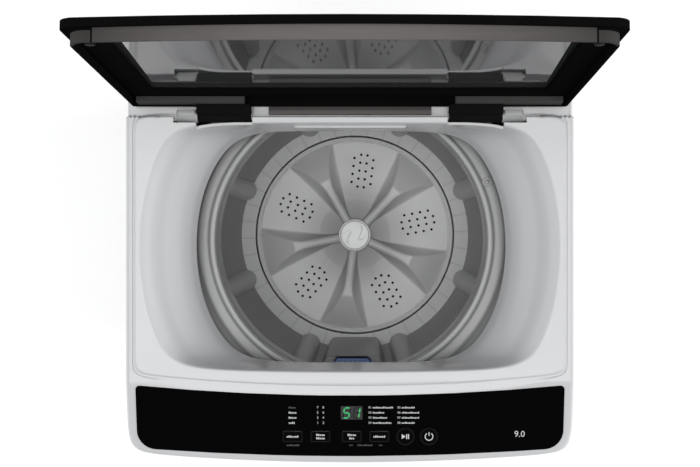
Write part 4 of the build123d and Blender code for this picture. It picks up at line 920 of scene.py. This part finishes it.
posts_made = run_tree(holes, {
    "Post Radius": hole_radius,
    "Cluster Middle": cluster_middle,
    "Finish": finishes["dark_grey_plastic"],
}, "hole_posts")
print("hole cutters", len(posts_made.data.polygons) // 18)
cut(pulsator, [posts_made])

# %% [markdown]
# The pulsator is painted silver and polished from the hub outwards, which leaves fine radial
# scores. They are thinner than any mesh could hold, so they are a pattern of the angle. The
# middle of the dish is darkened with painted shade, because less light reaches it at the
# bottom of the tub.


# %% Finish of the pulsator: bright silver paint with fine radial scores and painted shade in the middle
def scored(name, colour, count, gloss, strength, phase=0.0, metal_share=0.25, width=0.012, middle=1.0):
    """Plastic with fine radial score lines about the tub's axis, and painted shade darkening its middle.
    """
    shader = Shader(name)
    x, y, _ = shader.axes()
    turns_round = y.math("ARCTAN2", x) / (2 * math.pi)
    within = (turns_round * count + phase + 8.0).math("FRACT")
    off = (within - 0.5).math("ABSOLUTE")
    line = shader.fade(off, 0.0, width * count / 10, 1.0, 0.0)
    slow = shader.noise(0.06, 2.0)
    fine = shader.noise(0.0012, 2.0)
    darker = tuple(c * 0.93 for c in colour)
    lined = tuple(c * (1 - strength) for c in colour)
    # Painted shade: towards the hub the colour falls to the middle share of itself.
    far = shader.fade((x * x + y * y) ** 0.5, 0.045, 0.120, middle, 1.0, "SMOOTHSTEP")
    shaded = shader.blend(shader.blend(darker, colour, slow), lined, line)
    return shader.finish(
        Base_Color=shader.blend((0.0, 0.0, 0.0), shaded, far),
        Roughness=gloss + 0.1 * (slow - 0.5) + 0.04 * fine,
        Metallic=metal_share,
        Coat_Weight=0.2,
        Coat_Roughness=0.08,
        Normal=shader.bump(fine * 0.2 - line, 0.0002),
    )


# The pulsator's middle is painted down to 0.62 of its colour, as painted shade.
finishes["pulsator_grey"] = scored(
    "pulsator_silver",
    (0.74, 0.743, 0.75),
    count=arms,
    gloss=0.44,
    strength=0.10,
    metal_share=0.1,
    middle=0.62,
)
wear(pulsator.data, finishes["pulsator_grey"])
settle(pulsator, "pulsator_skin", "agitator", "pulsator_grey", ["pulsator"], 50)

# %% [markdown]
# Through each hole one looks into the dark space under the dish. A thin dark ring close
# below it gives the same look without modelling the space.

# %% A dark sheet under the dish, so that each hole is a dark dot
shade_profile = [(76.0, 0.3), (134.0, -2.4), (134.0, -2.8), (76.0, -0.1)]
shade_profile = [(r * MM, (edge_height + z) * MM) for r, z in shade_profile]
shade = turned("shade_shape", shade_profile, finishes["rubber"], 128)
settle(shade, "pulsator_shade", "agitator", "rubber", (), 40)

# %% [markdown]
# A cap hides the screw of the hub. It has a bead round its rim and a shallow swirl pressed
# into its face. Like the pulsator it is rings of points, and the swirl only lowers them.

# %% The cap over the hub, with its rim bead and a swirl pressed into it
cap_low, cap_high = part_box("pulsator_cap")
cap_top = cap_high.z
cap_r = cap_high.x
cap_turns = 240
cap_angles = np.arange(cap_turns) * 2 * np.pi / cap_turns
cap_profile = [(0.0002, cap_low.z), (cap_r - 0.0005, cap_low.z), (cap_r, cap_low.z + 0.001)]
bead = 0.0018
for k in range(9):
    a = k / 8 * math.pi / 2
    cap_profile.append((cap_r - bead + bead * math.cos(a), cap_top - bead + bead * math.sin(a)))
cap_profile += [(cap_r - 0.0026, cap_top - 0.0002), (cap_r - 0.0032, cap_top - 0.0018)]
cap_rows = [circle(r, cap_angles, z) for r, z in cap_profile]
swirl_rows = 30
swirl_depth = 0.0005
for k in range(1, swirl_rows + 1):
    r = (cap_r - 0.0034) * (1 - k / swirl_rows) + 0.0002
    share = r / cap_r
    wave = np.cos(2 * (cap_angles + 1.1) - 4.4 * share)
    hollow = np.clip((wave - 0.1) / 0.8, 0, 1)
    hollow = hollow * np.clip((share - 0.22) / 0.15, 0, 1) * np.clip((0.84 - share) / 0.12, 0, 1)
    dome = cap_top - 0.0014 + 0.0008 * (1 - share ** 2)
    level = dome - swirl_depth * hollow * hollow * (3 - 2 * hollow)
    cap_rows.append(circle(r, cap_angles, level))
finishes["cap_silver"] = plastic("cap_silver", (0.60, 0.605, 0.61), 0.30, metal=0.15)
cap = ring_mesh("cap_shape", np.array(cap_rows), finishes["cap_silver"])
settle(cap, "cap_skin", "agitator", "pulsator_grey", ["pulsator_cap"], 45)

# %% [markdown]
# ## The basket
#
# The basket's wall is a drawn cone with eight standing ribs, each ending in a rounded tip
# near the floor and near the top. The wall is again a height field: the radius at each
# height and angle, less the rib. Its small drain holes are a pattern in the finish, because
# hundreds of real ones would not be seen in a dark wall.

# %% The basket wall as a field of radii
wall_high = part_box("basket_wall")[1]
foot_radius = 0.183
top_radius = 0.207
ribs = 8
wall_rows = 97
wall_turns = 640
rise = np.linspace(0, 1, wall_rows)
wall_angle = np.arange(wall_turns) * 2 * np.pi / wall_turns
level, round_angle = np.meshgrid(rise, wall_angle, indexing="ij")
cone = foot_radius + (top_radius - foot_radius) * level
rib_fold = (round_angle - math.radians(22.5) + np.pi / ribs) % (2 * np.pi / ribs) - np.pi / ribs
rib_off = np.abs(rib_fold) * cone
rib_width = 0.0155
rib_height = 0.0125
tip = np.clip(np.minimum(level / 0.05, (1 - level) / 0.16), 0, 1) ** 0.5
profile_off = np.clip(1 - (rib_off / (rib_width * np.clip(tip, 0.05, 1))) ** 2, 0, 1) ** 0.6
cone = cone - rib_height * profile_off * tip
wall_z = basket_floor + (wall_high.z - basket_floor) * level


def wall_rings(grow):
    """The wall's rings, grown outwards by its thickness for the back of the sheet."""
    return circle(cone + grow, round_angle, wall_z)


sheet = 0.0012
outer = wall_rings(sheet)[::-2]
basket = ring_mesh("basket_shape", np.concatenate([wall_rings(0.0), outer]), finishes["basket_steel"])
print("basket wall", len(wall_z), "rings inside and", len(outer), "outside")


hole_columns = 96
hole_rows = 52.0


def perforated(name):
    """Dark steel with a grain drawn out along one axis, rows of drain holes shown as dark spots, and a
    painted highlight on the ribs.
    """
    shader = Shader(name)
    x, y, z = shader.axes()
    column = y.math("ARCTAN2", x) / (2 * math.pi) * hole_columns
    row = z * hole_rows
    stagger = (row.math("FLOOR") * 0.5).math("FRACT")
    in_column = (column + stagger + 200.0).math("FRACT") - 0.5
    in_row = row.math("FRACT") - 0.5
    distance = (in_column * in_column * 0.49 + in_row * in_row * 1.0) ** 0.5
    hole = shader.fade(distance, 0.085, 0.11, 1.0, 0.0)
    grain = shader.noise(0.02, 4.0, (1, 1, 14))
    steel = shader.blend((0.29, 0.29, 0.293), (0.37, 0.37, 0.373), grain)
    steel = shader.blend(steel, (0.21, 0.21, 0.21), hole)
    # Painted highlight: where the wall stands proud of the cone, on the ribs, the steel is painted a
    # lighter, less metallic grey.
    wall_share = (z - basket_floor) / (wall_high.z - basket_floor)
    stand = foot_radius + (top_radius - foot_radius) * wall_share - (x * x + y * y) ** 0.5
    rib_highlight = shader.fade(stand, 0.0004, 0.003, 0.0, 1.0)
    return shader.finish(
        Base_Color=shader.blend(steel, (0.62, 0.622, 0.63), rib_highlight),
        Metallic=0.5 * (1.0 - rib_highlight),
        Roughness=0.36 + 0.2 * grain,
        Normal=shader.bump(0.1 * grain - 0.5 * hole, 0.0001),
    )


finishes["basket_steel"] = perforated("basket_steel_perforated")
wear(basket.data, finishes["basket_steel"])
settle(basket, "basket_skin", "basket", "basket_steel", ["basket_wall"], 50)

# %% [markdown]
# Above the wall come two rings: the balance ring, a hollow ring of water that steadies the
# spin, and the tub's cover, whose lip keeps splashes in. Both are solids of revolution, so
# each is one profile turned about the axis. A small plug closes a moulding hole in the cover.

# %% Balance ring, tub cover and basket floor as turned shapes
ring_low, ring_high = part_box("balance_ring")
inner_r = 0.1755
outer_r = ring_high.x
throat = [
    (inner_r, ring_low.z),
    (inner_r, ring_high.z),
    (outer_r, ring_high.z),
    (outer_r, ring_low.z),
]
balance = turned("balance_shape", rounded_profile(throat, 0.006, 6), finishes["grey_plastic"], 360)
settle(balance, "balance_skin", "basket", "grey_plastic", ["balance_ring"], 50)

tub_low, tub_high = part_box("tub_cover")
tub_inner = 0.1750
lip = [
    (tub_inner, tub_low.z),
    (tub_inner, tub_high.z),
    (tub_inner + 0.007, tub_high.z),
    (tub_inner + 0.009, tub_low.z + 0.008),
    (tub_inner + 0.022, tub_low.z + 0.008),
    (tub_inner + 0.026, tub_low.z + 0.0042),
    (tub_high.x - 0.004, tub_low.z + 0.0042),
    (tub_high.x - 0.002, tub_low.z + 0.009),
    (tub_high.x, tub_low.z + 0.009),
    (tub_high.x, tub_low.z),
]
tub_top = turned("tub_cover_shape", rounded_profile(lip, 0.0025, 4), finishes["grey_plastic"], 360)
settle(tub_top, "tub_cover_skin", "tub", "grey_plastic", ["tub_cover"], 50)

plug_at = Vector((0.1752, 0.0744, tub_low.z + 0.0078))
plug_turns = 48
plug_round = np.arange(plug_turns) * 2 * np.pi / plug_turns
plug_profile = [
    (0.0064, 0.0), (0.0063, 0.0012), (0.0058, 0.0017), (0.0050, 0.0017),
    (0.0046, 0.0012), (0.0046, 0.0006), (0.0034, 0.0006), (0.0032, 0.0014),
    (0.0026, 0.0021), (0.0014, 0.0025), (0.0002, 0.0026),
]
plug_rows = [circle(r, plug_round, z) + np.array(plug_at) for r, z in plug_profile]
plug_thickness = 0.0036
plug_back = plug_rows[-1] - (0, 0, plug_thickness)
plug = ring_mesh("plug_shape", np.array([plug_back] + plug_rows), finishes["grey_plastic"])
settle(plug, "tub_cover_plug", "tub", "grey_plastic", (), 40)

finishes["floor_grey"] = scored(
    "floor_grey",
    (0.84, 0.845, 0.85),
    count=40,
    gloss=0.38,
    strength=0.2,
    phase=0.3,
    metal_share=0.0,
    width=0.016,
)
wear(nodes["basket_base"].data, finishes["floor_grey"])
print("basket top", round(ring_high.z, 4), "tub cover top", round(tub_high.z, 4))

# %% [markdown]
# ## The lint filter
#
# A blue frame with standing slats catches lint as water falls behind a dark housing. Slats
# repeat, so Geometry Nodes draws them from a count and a pitch.

# %% Slats of the lint filter
filter_low, filter_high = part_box("lint_filter")
slat_count = 9
slat_margin = 0.004
slat_reach = 0.031
slat_width = 0.0030
slat_height = 0.004
pitch = 2 * slat_reach / slat_count
slats = geometry_tree("slats", [
    ("Count", "NodeSocketInt", slat_count),
    ("Pitch", "NodeSocketFloat", pitch),
    ("Size", "NodeSocketVector", None),
    ("Start", "NodeSocketVector", None),
    ("Finish", "NodeSocketMaterial", None),
])
entry = slats.nodes.new("NodeGroupInput")
step = add_node(slats, "ShaderNodeCombineXYZ", None, {0: entry.outputs["Pitch"]})
line = add_node(slats, "GeometryNodeMeshLine", None, {
    "Count": entry.outputs["Count"],
    "Start Location": entry.outputs["Start"],
    "Offset": step.outputs[0],
})
slat = add_node(slats, "GeometryNodeMeshCube", None, {"Size": entry.outputs["Size"]})
row = add_node(slats, "GeometryNodeInstanceOnPoints", None, {
    "Points": line.outputs[0],
    "Instance": slat.outputs[0],
})
end_tree(slats, row.outputs[0], entry.outputs["Finish"])
slat_depth = filter_high.y - filter_low.y - 2 * slat_margin
slat_middle = filter_low.y + slat_margin + slat_depth / 2
filter_slats = run_tree(slats, {
    "Count": slat_count,
    "Pitch": pitch,
    "Size": (slat_width, slat_depth, slat_height),
    "Start": (pitch / 2 - slat_reach, slat_middle, filter_high.z - 0.001),
    "Finish": finishes["filter_pale"],
}, "filter_slats")
bevel = filter_slats.modifiers.new("edges", "BEVEL")
bevel.width = 0.0004
settle(filter_slats, "filter_slats", "filter", "filter_blue", (), 40)
softened("lint_filter", 0.001)
softened("lint_housing", 0.0035, 4)
print(slat_count, "slats, one every", round(pitch / MM, 1), "mm")

# %% [markdown]
# ## The lid
#
# Standing open, the lid shows its underside: a black moulded frame, a window of smoked
# glass, and the two grey hinge covers at its foot. All are flat mouldings with rounded
# edges, so the frame's own parts are used with a bevel.

# %% Round the edges of the lid and its hinges
def bars_along_x(name, profile, runs, finish):
    """Closed bars with one (y, z) profile; each run lists the x of a bar's sections."""
    points = []
    faces = []
    count = len(profile)
    for run in runs:
        start = len(points)
        points += [(x, y, z) for x in run for y, z in profile]
        for k in range(len(run) - 1):
            base = start + k * count
            for j in range(count):
                n = (j + 1) % count
                faces.append((base + j, base + n, base + count + n, base + count + j))
        last = start + (len(run) - 1) * count
        faces.append(tuple(range(start, start + count)))
        faces.append(tuple(range(last, last + count)))
    piece = new_piece(name, points, faces, finish)
    outward(piece)
    return piece


softened("lid_frame", 0.0022, 3)
softened("lid_inner_frame", 0.0012, 2)
softened("lid_hinges", 0.0022, 3)
trim_low, trim_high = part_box("rear_trim")
trim_profile = [
    (trim_low.y, trim_low.z),
    (trim_low.y, trim_high.z),
    (trim_low.y + 0.0055, trim_high.z),
    (trim_low.y + 0.0105, trim_high.z - 0.0028),
    (trim_low.y + 0.0105, trim_low.z),
]
trim_profile = rounded_profile(trim_profile, 0.0009, 4)
trim_steps = 40
trim_width = trim_high.x - trim_low.x
trim_x = [trim_low.x + trim_width * k / trim_steps for k in range(trim_steps + 1)]
finishes["trim_grey"] = plastic("trim_grey", (0.11, 0.103, 0.10), 0.3, shine=0.15)
trim = bars_along_x("trim_shape", trim_profile, [trim_x], finishes["trim_grey"])
settle(trim, "rear_trim_skin", "cabinet", "warm_grey", ["rear_trim"], 40)

# %% [markdown]
# Beside each hinge cover a light tab lies over the hinge's barrel. It is a small plate with
# a sloping front, so its side profile is drawn once and run along the hinge on both sides.

# %% The tabs over the hinge barrels
tab_profile = [
    (0.1432, 0.8752),
    (0.1432, 0.8768),
    (0.1470, 0.8815),
    (0.1515, 0.8838),
    (0.1580, 0.8838),
    (0.1580, 0.8752),
]
tab_profile = rounded_profile(tab_profile, 0.0008, 3)
tab_inner = 0.1862
tab_outer = 0.2065
tab_runs = [(-tab_outer, -tab_inner), (tab_inner, tab_outer)]
tabs = bars_along_x("tab_shape", tab_profile, tab_runs, finishes["grey_plastic"])
settle(tabs, "hinge_tabs", "cabinet", "grey_plastic", (), 40)

# %% Round the edges of the parts round the hinge and of the drawer
softened("lid_bumpers", 0.0008, 2)
softened("hinge_brackets", 0.0014, 3)
softened("rear_housing", 0.0035, 3)
softened("detergent_housing", 0.0008, 2, level=0.0)
softened("detergent_drawer", 0.0010, 3, level=0.0)
print("lid parts rounded")

# %% [markdown]
# The window leans a little more than its frame: its lower edge touches the frame's plate and
# its upper edge stands back from it by four millimetres.

# %% The leaning window
glass_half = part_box("lid_glass")[1].x
up_lid = Vector((0, math.sin(lean), math.cos(lean)))
through_lid = Vector((0, math.cos(lean), -math.sin(lean)))
hinge_point = Vector((0, hinge_line, hinge_height))
glass_points = [v.co - hinge_point for v in nodes["lid_glass"].data.vertices]
reach_up = [p.dot(up_lid) for p in glass_points]
depth_in = [p.dot(through_lid) for p in glass_points]
print("window from", round(min(reach_up), 4), "to", round(max(reach_up), 4))
print("window face at", round(min(depth_in), 4), "back at", round(max(depth_in), 4))
face_depth = min(depth_in)
back_depth = max(depth_in)
extra_lean = 0.0042


def window_corner(x, share, depth):
    """Point of the window at x, share of the way up and depth through it."""
    up = min(reach_up) + share * (max(reach_up) - min(reach_up))
    return hinge_point + Vector((x, 0, 0)) + up_lid * up + through_lid * depth


window_columns = 12
window_rows = 8
window_grid = []
for depth_low, depth_high in ((face_depth, face_depth + extra_lean), (back_depth, back_depth)):
    for j in range(window_rows + 1):
        share = j / window_rows
        depth = depth_low + (depth_high - depth_low) * share
        for i in range(window_columns + 1):
            window_grid.append(window_corner((2 * i / window_columns - 1) * glass_half, share, depth))
across_row = window_columns + 1
layer = across_row * (window_rows + 1)
window_faces = []
for j in range(window_rows):
    for i in range(window_columns):
        k = j * across_row + i
        window_faces.append((k, k + 1, k + 1 + across_row, k + across_row))
        window_faces.append((layer + k, layer + k + across_row, layer + k + 1 + across_row, layer + k + 1))
for i in range(window_columns):
    top = window_rows * across_row + i
    window_faces.append((i, layer + i, layer + i + 1, i + 1))
    window_faces.append((top, top + 1, layer + top + 1, layer + top))
for j in range(window_rows):
    left = j * across_row
    right = left + window_columns
    window_faces.append((left, left + across_row, layer + left + across_row, layer + left))
    window_faces.append((right, layer + right, layer + right + across_row, right + across_row))
window = new_piece("window", window_grid, window_faces, finishes["dark_glass"])
outward(window)
settle(window, "lid_glass_skin", "lid", "dark_glass", ["lid_glass"], 30)

# %% [markdown]
# ## Control panel
#
# The fascia is one glossy black moulding set into the sloping border. Six keys stand in its
# lower row. Its print is a set of plain numbers, short bars and lamps, all drawn as thin
# raised ink on the slope.

# %% Fascia and keys
softened("control_fascia", 0.0010, 3)
box_keys = ["process_button", "level_button", "delay_button", "program_button"]
round_keys = ["start_button", "power_button"]
key_nodes = box_keys + round_keys
for key in key_nodes:
    softened(key, 0.0008, 3)
softened("display_lens", 0.0004, 2)


def ink(name, colour, glow=0.0):
    """Printed ink, or a lit segment when it glows."""
    shader = Shader(name)
    speck = shader.noise(0.0004, 2.0)
    return shader.finish(
        Base_Color=shader.blend(tuple(c * 0.85 for c in colour), colour, speck),
        Roughness=0.4 + 0.1 * speck,
        Specular_IOR_Level=0.05,
        Emission_Color=shader.blend(tuple(c * 0.8 for c in colour), colour, speck),
        Emission_Strength=glow,
        Normal=shader.bump(speck, 0.00001),
    )


white_ink = ink("white_ink", (0.62, 0.63, 0.64))
dim_ink = ink("dim_ink", (0.10, 0.105, 0.11))
faint_ink = ink("faint_ink", (0.014, 0.0142, 0.0148))
green_glow = ink("green_glow", (0.05, 0.40, 0.13), 0.5)
segment_dark = ink("segment_dark", (0.022, 0.024, 0.024))
display_grey = ink("display_grey", (0.050, 0.051, 0.053))
fascia_proud = 0.0006
ink_lift = 0.00012
ink_thick = 0.00012


def slope_height(y):
    """Height of the sloping panel at y."""
    return deck - (-y - deck_break) * deck_fall + fascia_proud


def ink_layer(name, plan_pieces, finish, lift=ink_lift, body="cabinet"):
    """Thin raised ink from flat polygons in plan, laid on the slope of the panel."""
    vertices = []
    faces = []
    for polygon in plan_pieces:
        start = len(vertices)
        count = len(polygon)
        for level in (lift, lift + ink_thick):
            vertices += [(x, y, slope_height(y) + level) for x, y in polygon]
        faces.append(tuple(range(start + count, start + 2 * count)))
        faces.append(tuple(range(start + count - 1, start - 1, -1)))
        for k in range(count):
            n = (k + 1) % count
            faces.append((start + k, start + n, start + count + n, start + count + k))
    piece = new_piece(name, vertices, faces, finish)
    outward(piece)
    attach(piece, body)


def bar(x, y, width, depth):
    """Outline of a box centred at x, y."""
    return [(x - width / 2, y - depth / 2), (x + width / 2, y - depth / 2),
            (x + width / 2, y + depth / 2), (x - width / 2, y + depth / 2)]


def dot(x, y, r, count=48):
    """Outline of a disc centred at x, y."""
    return [(x + r * math.cos(2 * math.pi * k / count), y + r * math.sin(2 * math.pi * k / count))
            for k in range(count)]


def ring_strip(outer_plan, inner_plan):
    """Quads filling the space between two outlines with equal counts."""
    quads = []
    count = len(outer_plan)
    for k in range(count):
        n = (k + 1) % count
        quads.append([outer_plan[k], outer_plan[n], inner_plan[n], inner_plan[k]])
    return quads


def rounded_box(x, y, width, depth, r, steps=6):
    """Outline of a box with round corners."""
    points = []
    for corner, (sx, sy) in enumerate([(1, 1), (-1, 1), (-1, -1), (1, -1)]):
        cx = x + sx * (width / 2 - r)
        cy = y + sy * (depth / 2 - r)
        for k in range(steps + 1):
            a = (corner + k / steps) * math.pi / 2
            points.append((cx + r * math.cos(a), cy + r * math.sin(a)))
    return points


def printed(text, x, y, size, finish, name, body="cabinet"):
    """Plain digits as thin ink, centred at x, y on the slope."""
    curve = bpy.data.curves.new(name, "FONT")
    curve.body = text
    curve.size = size
    curve.align_x = "CENTER"
    curve.align_y = "CENTER"
    curve.extrude = 0.00006
    curve.resolution_u = 3
    lettering = add_object(name, curve)
    mesh = evaluated_mesh(lettering)
    bpy.data.objects.remove(lettering)
    for vertex in mesh.vertices:
        plan_y = vertex.co.y + y
        vertex.co = (vertex.co.x + x, plan_y, slope_height(plan_y) + ink_lift + vertex.co.z)
    wear(mesh, finish)
    piece = add_object(name, mesh)
    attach(piece, body)


# %% [markdown]
# The panel's words are left out. Where a line of words stands on a real machine, a row of
# small blocks of the same length is drawn, and only plain numbers are kept as numbers.

# %% Print of the panel: columns of plain numbers and rows of small blocks
row_y = [-0.2003, -0.2066, -0.2129, -0.2193]
small_print_y = -0.2472
program_size = 0.0038
level_size = 0.0042
load_size = 0.0108
program_x = (0.0240, 0.0590)
level_x = (-0.0391, -0.0323)
display_x = 0.0018
display_y = -0.2069
key_y = -0.2362


def blocks(x, y, count, size=0.00215):
    """A row of small upright blocks that starts at x, like a line of small print."""
    row = []
    for k in range(count):
        tall = size * (1.0, 0.72, 0.72, 0.9, 0.72)[(k * 3 + count) % 5]
        wide = size * (0.62, 0.5, 0.56)[(k + count) % 3]
        row.append(bar(x + (k + 0.5) * size * 0.82, y + (tall - size) / 2, wide, tall))
    return row


label_bars = []
faint_bars = blocks(-0.0742, row_y[0], 5)
for k, count in ((1, 5), (2, 5), (3, 4)):
    label_bars += blocks(-0.0744, row_y[k], count, 0.0024)
program_lengths = [(14, 8, 10, 13), (9, 12, 12, 9)]
for column, x in enumerate(program_x):
    for k, y in enumerate(row_y):
        label_bars += blocks(x + 0.0032, y, program_lengths[column][k])
        number = "%02d" % (1 + k + 4 * column)
        printed(number, x, y, program_size, white_ink, "program_number_" + number)
for k, y in enumerate(row_y):
    for x, number in zip(level_x, (7 - 2 * k, 8 - 2 * k)):
        printed(str(number), x, y, level_size, white_ink, "level_number_%d" % number)
printed("9.0", 0.2050, -0.2335, load_size, white_ink, "load_number")
small_print = ((-0.0770, 9, 0.0021), (-0.0010, 3, 0.0017), (0.0085, 12, 0.0019), (0.0350, 3, 0.0017))
for x, count, size in small_print:
    faint_bars += blocks(x, small_print_y, count, size)
ink_layer("panel_labels", label_bars, white_ink)
ink_layer("panel_small_labels", faint_bars, dim_ink)
ink_layer("display_back", [rounded_box(display_x, display_y, 0.0258, 0.0164, 0.0006)], display_grey)
print(len(label_bars) + len(faint_bars), "blocks printed")

# %% [markdown]
# The display shows its digits as seven bars each. A lit bar glows green, and the unlit ones
# show faintly in the dark window.

# %% Seven-bar digits of the display
lit_bars = {"5": "acdfg", "1": "bc"}
digit_w = 0.0068
digit_h = 0.0124
stroke = 0.0016
digit_slant = 0.16


def leaning(plan, y):
    """The same outline leaning to the right, as digits of a display do."""
    return [(px + (py - y) * digit_slant, py) for px, py in plan]


def segment_plans(x, y):
    """The seven bars of a digit centred at x, y."""
    w = digit_w / 2
    h = digit_h / 2
    upright = {
        "a": bar(x, y + h, digit_w - stroke, stroke),
        "g": bar(x, y, digit_w - stroke, stroke),
        "d": bar(x, y - h, digit_w - stroke, stroke),
        "f": bar(x - w, y + h / 2, stroke, h - stroke),
        "b": bar(x + w, y + h / 2, stroke, h - stroke),
        "e": bar(x - w, y - h / 2, stroke, h - stroke),
        "c": bar(x + w, y - h / 2, stroke, h - stroke),
    }
    return {letter: leaning(plan, y) for letter, plan in upright.items()}


lit = []
unlit = []
display_lift = 0.0006
for place, digit in zip((-0.0060, 0.0060), "51"):
    for letter, plan in segment_plans(display_x + place, display_y).items():
        (lit if letter in lit_bars[digit] else unlit).append(plan)
ink_layer("display_lit", lit, green_glow, display_lift)
ink_layer("display_unlit", unlit, segment_dark, display_lift)
print(len(lit), "bars lit and", len(unlit), "dark")

# %% [markdown]
# Each key carries a faint outline and its own symbol. They ride on the key, so that they go
# down with it when it is pressed. A dark strip round each key fills the gap it moves in,
# which would otherwise show the white cover below.

# %% Outlines and symbols on the keys
key_lift = 0.0013
well_margin = 0.0014
well_lift = -0.0003
tuck = 0.0003
outlines = {node: [] for node in key_nodes}
symbols = {node: [] for node in key_nodes}
key_x = {}
well_strips = []
for node in key_nodes:
    low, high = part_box(node)
    x = (low.x + high.x) / 2
    y = (low.y + high.y) / 2
    width = high.x - low.x
    depth = high.y - low.y
    key_x[node] = x
    if node in box_keys:
        outer_line = rounded_box(x, key_y, 0.0215, 0.0118, 0.0024)
        inner_line = rounded_box(x, key_y, 0.0207, 0.0110, 0.0020)
        wide = rounded_box(x, y, width + 2 * well_margin, depth + 2 * well_margin, 0.0032)
        narrow = rounded_box(x, y, width - 2 * tuck, depth - 2 * tuck, 0.0014)
    else:
        outer_line = dot(x, key_y, 0.0098)
        inner_line = dot(x, key_y, 0.0093)
        wide = dot(x, y, width / 2 + well_margin)
        narrow = dot(x, y, width / 2 - tuck)
    outlines[node] = ring_strip(outer_line, inner_line)
    well_strips += ring_strip(wide, narrow)
start_x = key_x["start_button"]
power_x = key_x["power_button"]
symbols["start_button"] = [
    [(start_x - 0.0044, key_y + 0.0031), (start_x - 0.0044, key_y - 0.0031), (start_x + 0.0003, key_y)],
    bar(start_x + 0.0016, key_y, 0.0013, 0.0060),
    bar(start_x + 0.0038, key_y, 0.0013, 0.0060),
]
symbols["power_button"] = [bar(power_x, key_y + 0.0032, 0.0011, 0.0044)]
ring_outer = 0.0052
ring_inner = 0.0041
gap_angle = math.radians(35)
arc_steps = 28
arc_start = math.pi / 2 + gap_angle
arc_length = 2 * math.pi - 2 * gap_angle
arc = [arc_start + arc_length * k / arc_steps for k in range(arc_steps + 1)]
arc = [(math.cos(a), math.sin(a)) for a in arc]
for (ax, ay), (bx, by) in zip(arc, arc[1:]):
    symbols["power_button"].append([
        (power_x + ring_outer * ax, key_y + ring_outer * ay),
        (power_x + ring_outer * bx, key_y + ring_outer * by),
        (power_x + ring_inner * bx, key_y + ring_inner * by),
        (power_x + ring_inner * ax, key_y + ring_inner * ay),
    ])
for node, rows in zip(key_nodes, ((7,), (5, 5), (5, 3), (7,))):
    for k, count in enumerate(rows):
        row_up = 0.0021 * (len(rows) - 1) * (1 - 2 * k)
        symbols[node] += blocks(key_x[node] - count * 0.00107, key_y + row_up, count, 0.0026)
for node in key_nodes:
    ink_layer(node + "_outline", outlines[node], faint_ink, key_lift, body=body_of[node])
    ink_layer(node + "_print", symbols[node], white_ink, key_lift, body=body_of[node])
ink_layer("key_wells", well_strips, segment_dark, well_lift)
print("panel print ready")

# %% [markdown]
# ## Cabinet, feet and back
#
# The cabinet is painted sheet, folded with small radii. The feet, the back panel and the
# drain parts are mouldings and pressings that show from behind.

# %% Round the edges of what shows outside
for node, radius in {
    "cabinet_shell": 0.0012,
    "rear_panel": 0.0008,
    "base_frame": 0.0015,
    "drain_outlet": 0.001,
    "cold_inlet_valve": 0.0008,
    "hot_inlet_valve": 0.0008,
    "foot_front_left": 0.0015,
    "foot_front_right": 0.0015,
    "foot_rear_left": 0.0015,
    "foot_rear_right": 0.0015,
    "rear_screws": 0.0003,
}.items():
    softened(node, radius, 2)
print("outside rounded")

# %% [markdown]
# ## Studio
#
# A pale floor, an even sky and one large lamp overhead give soft light with faint shadows.
# Two low lamps brighten the bowl's side walls. They are hidden from glossy surfaces, because
# their reflection would draw a hard bright line round the bowl's mouth.

# %% Floor, sky and light
floor_size = 12.0
sky_strength = 0.42
floor_corners = ((-1, -1), (1, -1), (1, 1), (-1, 1))
floor = new_piece(
    "floor",
    [(x * floor_size, y * floor_size, 0) for x, y in floor_corners],
    [(0, 1, 2, 3)],
    plastic("floor_pale", (0.96, 0.96, 0.96), 0.7, cloud=0.005, skin=0.0),
)

world = bpy.data.worlds.new("studio")
bpy.context.scene.world = world
world.use_nodes = True
background = world.node_tree.nodes["Background"]
background.inputs["Color"].default_value = (1.0, 1.0, 1.0, 1.0)
background.inputs["Strength"].default_value = sky_strength


def lamp(name, place, aim, width, height, power, glossy=True):
    """A soft rectangular studio lamp."""
    data = bpy.data.lights.new(name, "AREA")
    data.shape = "RECTANGLE"
    data.size = width
    data.size_y = height
    data.energy = power
    light = add_object(name, data)
    light.location = place
    light.rotation_euler = (Vector(aim) - Vector(place)).to_track_quat("-Z", "Y").to_euler()
    light.visible_glossy = glossy


lamp("overhead", (-0.6, -0.4, 12.0), (0, 0, 0.8), width=9.0, height=9.0, power=760)
for lamp_name, lamp_x, lamp_power in (("left_side", -5.0, 105), ("right_side", 5.0, 190)):
    place = (lamp_x, -0.4, 1.60)
    lamp(lamp_name, place, (0, 0, 0.85), width=3.0, height=1.3, power=lamp_power, glossy=False)
bpy.context.scene.view_settings.view_transform = "Standard"

# %% [markdown]
# The camera hangs over the machine and looks straight down. It is near enough for the bowl
# to narrow strongly with its depth, and a small shift frames the open lid as well.

# %% Camera: straight down over the bowl
camera_data = bpy.data.cameras.new("overhead_view")
camera_data.lens = 58.8
camera_data.sensor_width = 36.0
camera_data.shift_x = -0.0271
camera_data.shift_y = -0.025
camera = add_object("overhead_view", camera_data)
camera.location = (0.0228, 0.0305, 2.255)
bpy.context.scene.camera = camera
print("camera", round(camera.location.z - rim, 3), "m above the rim")
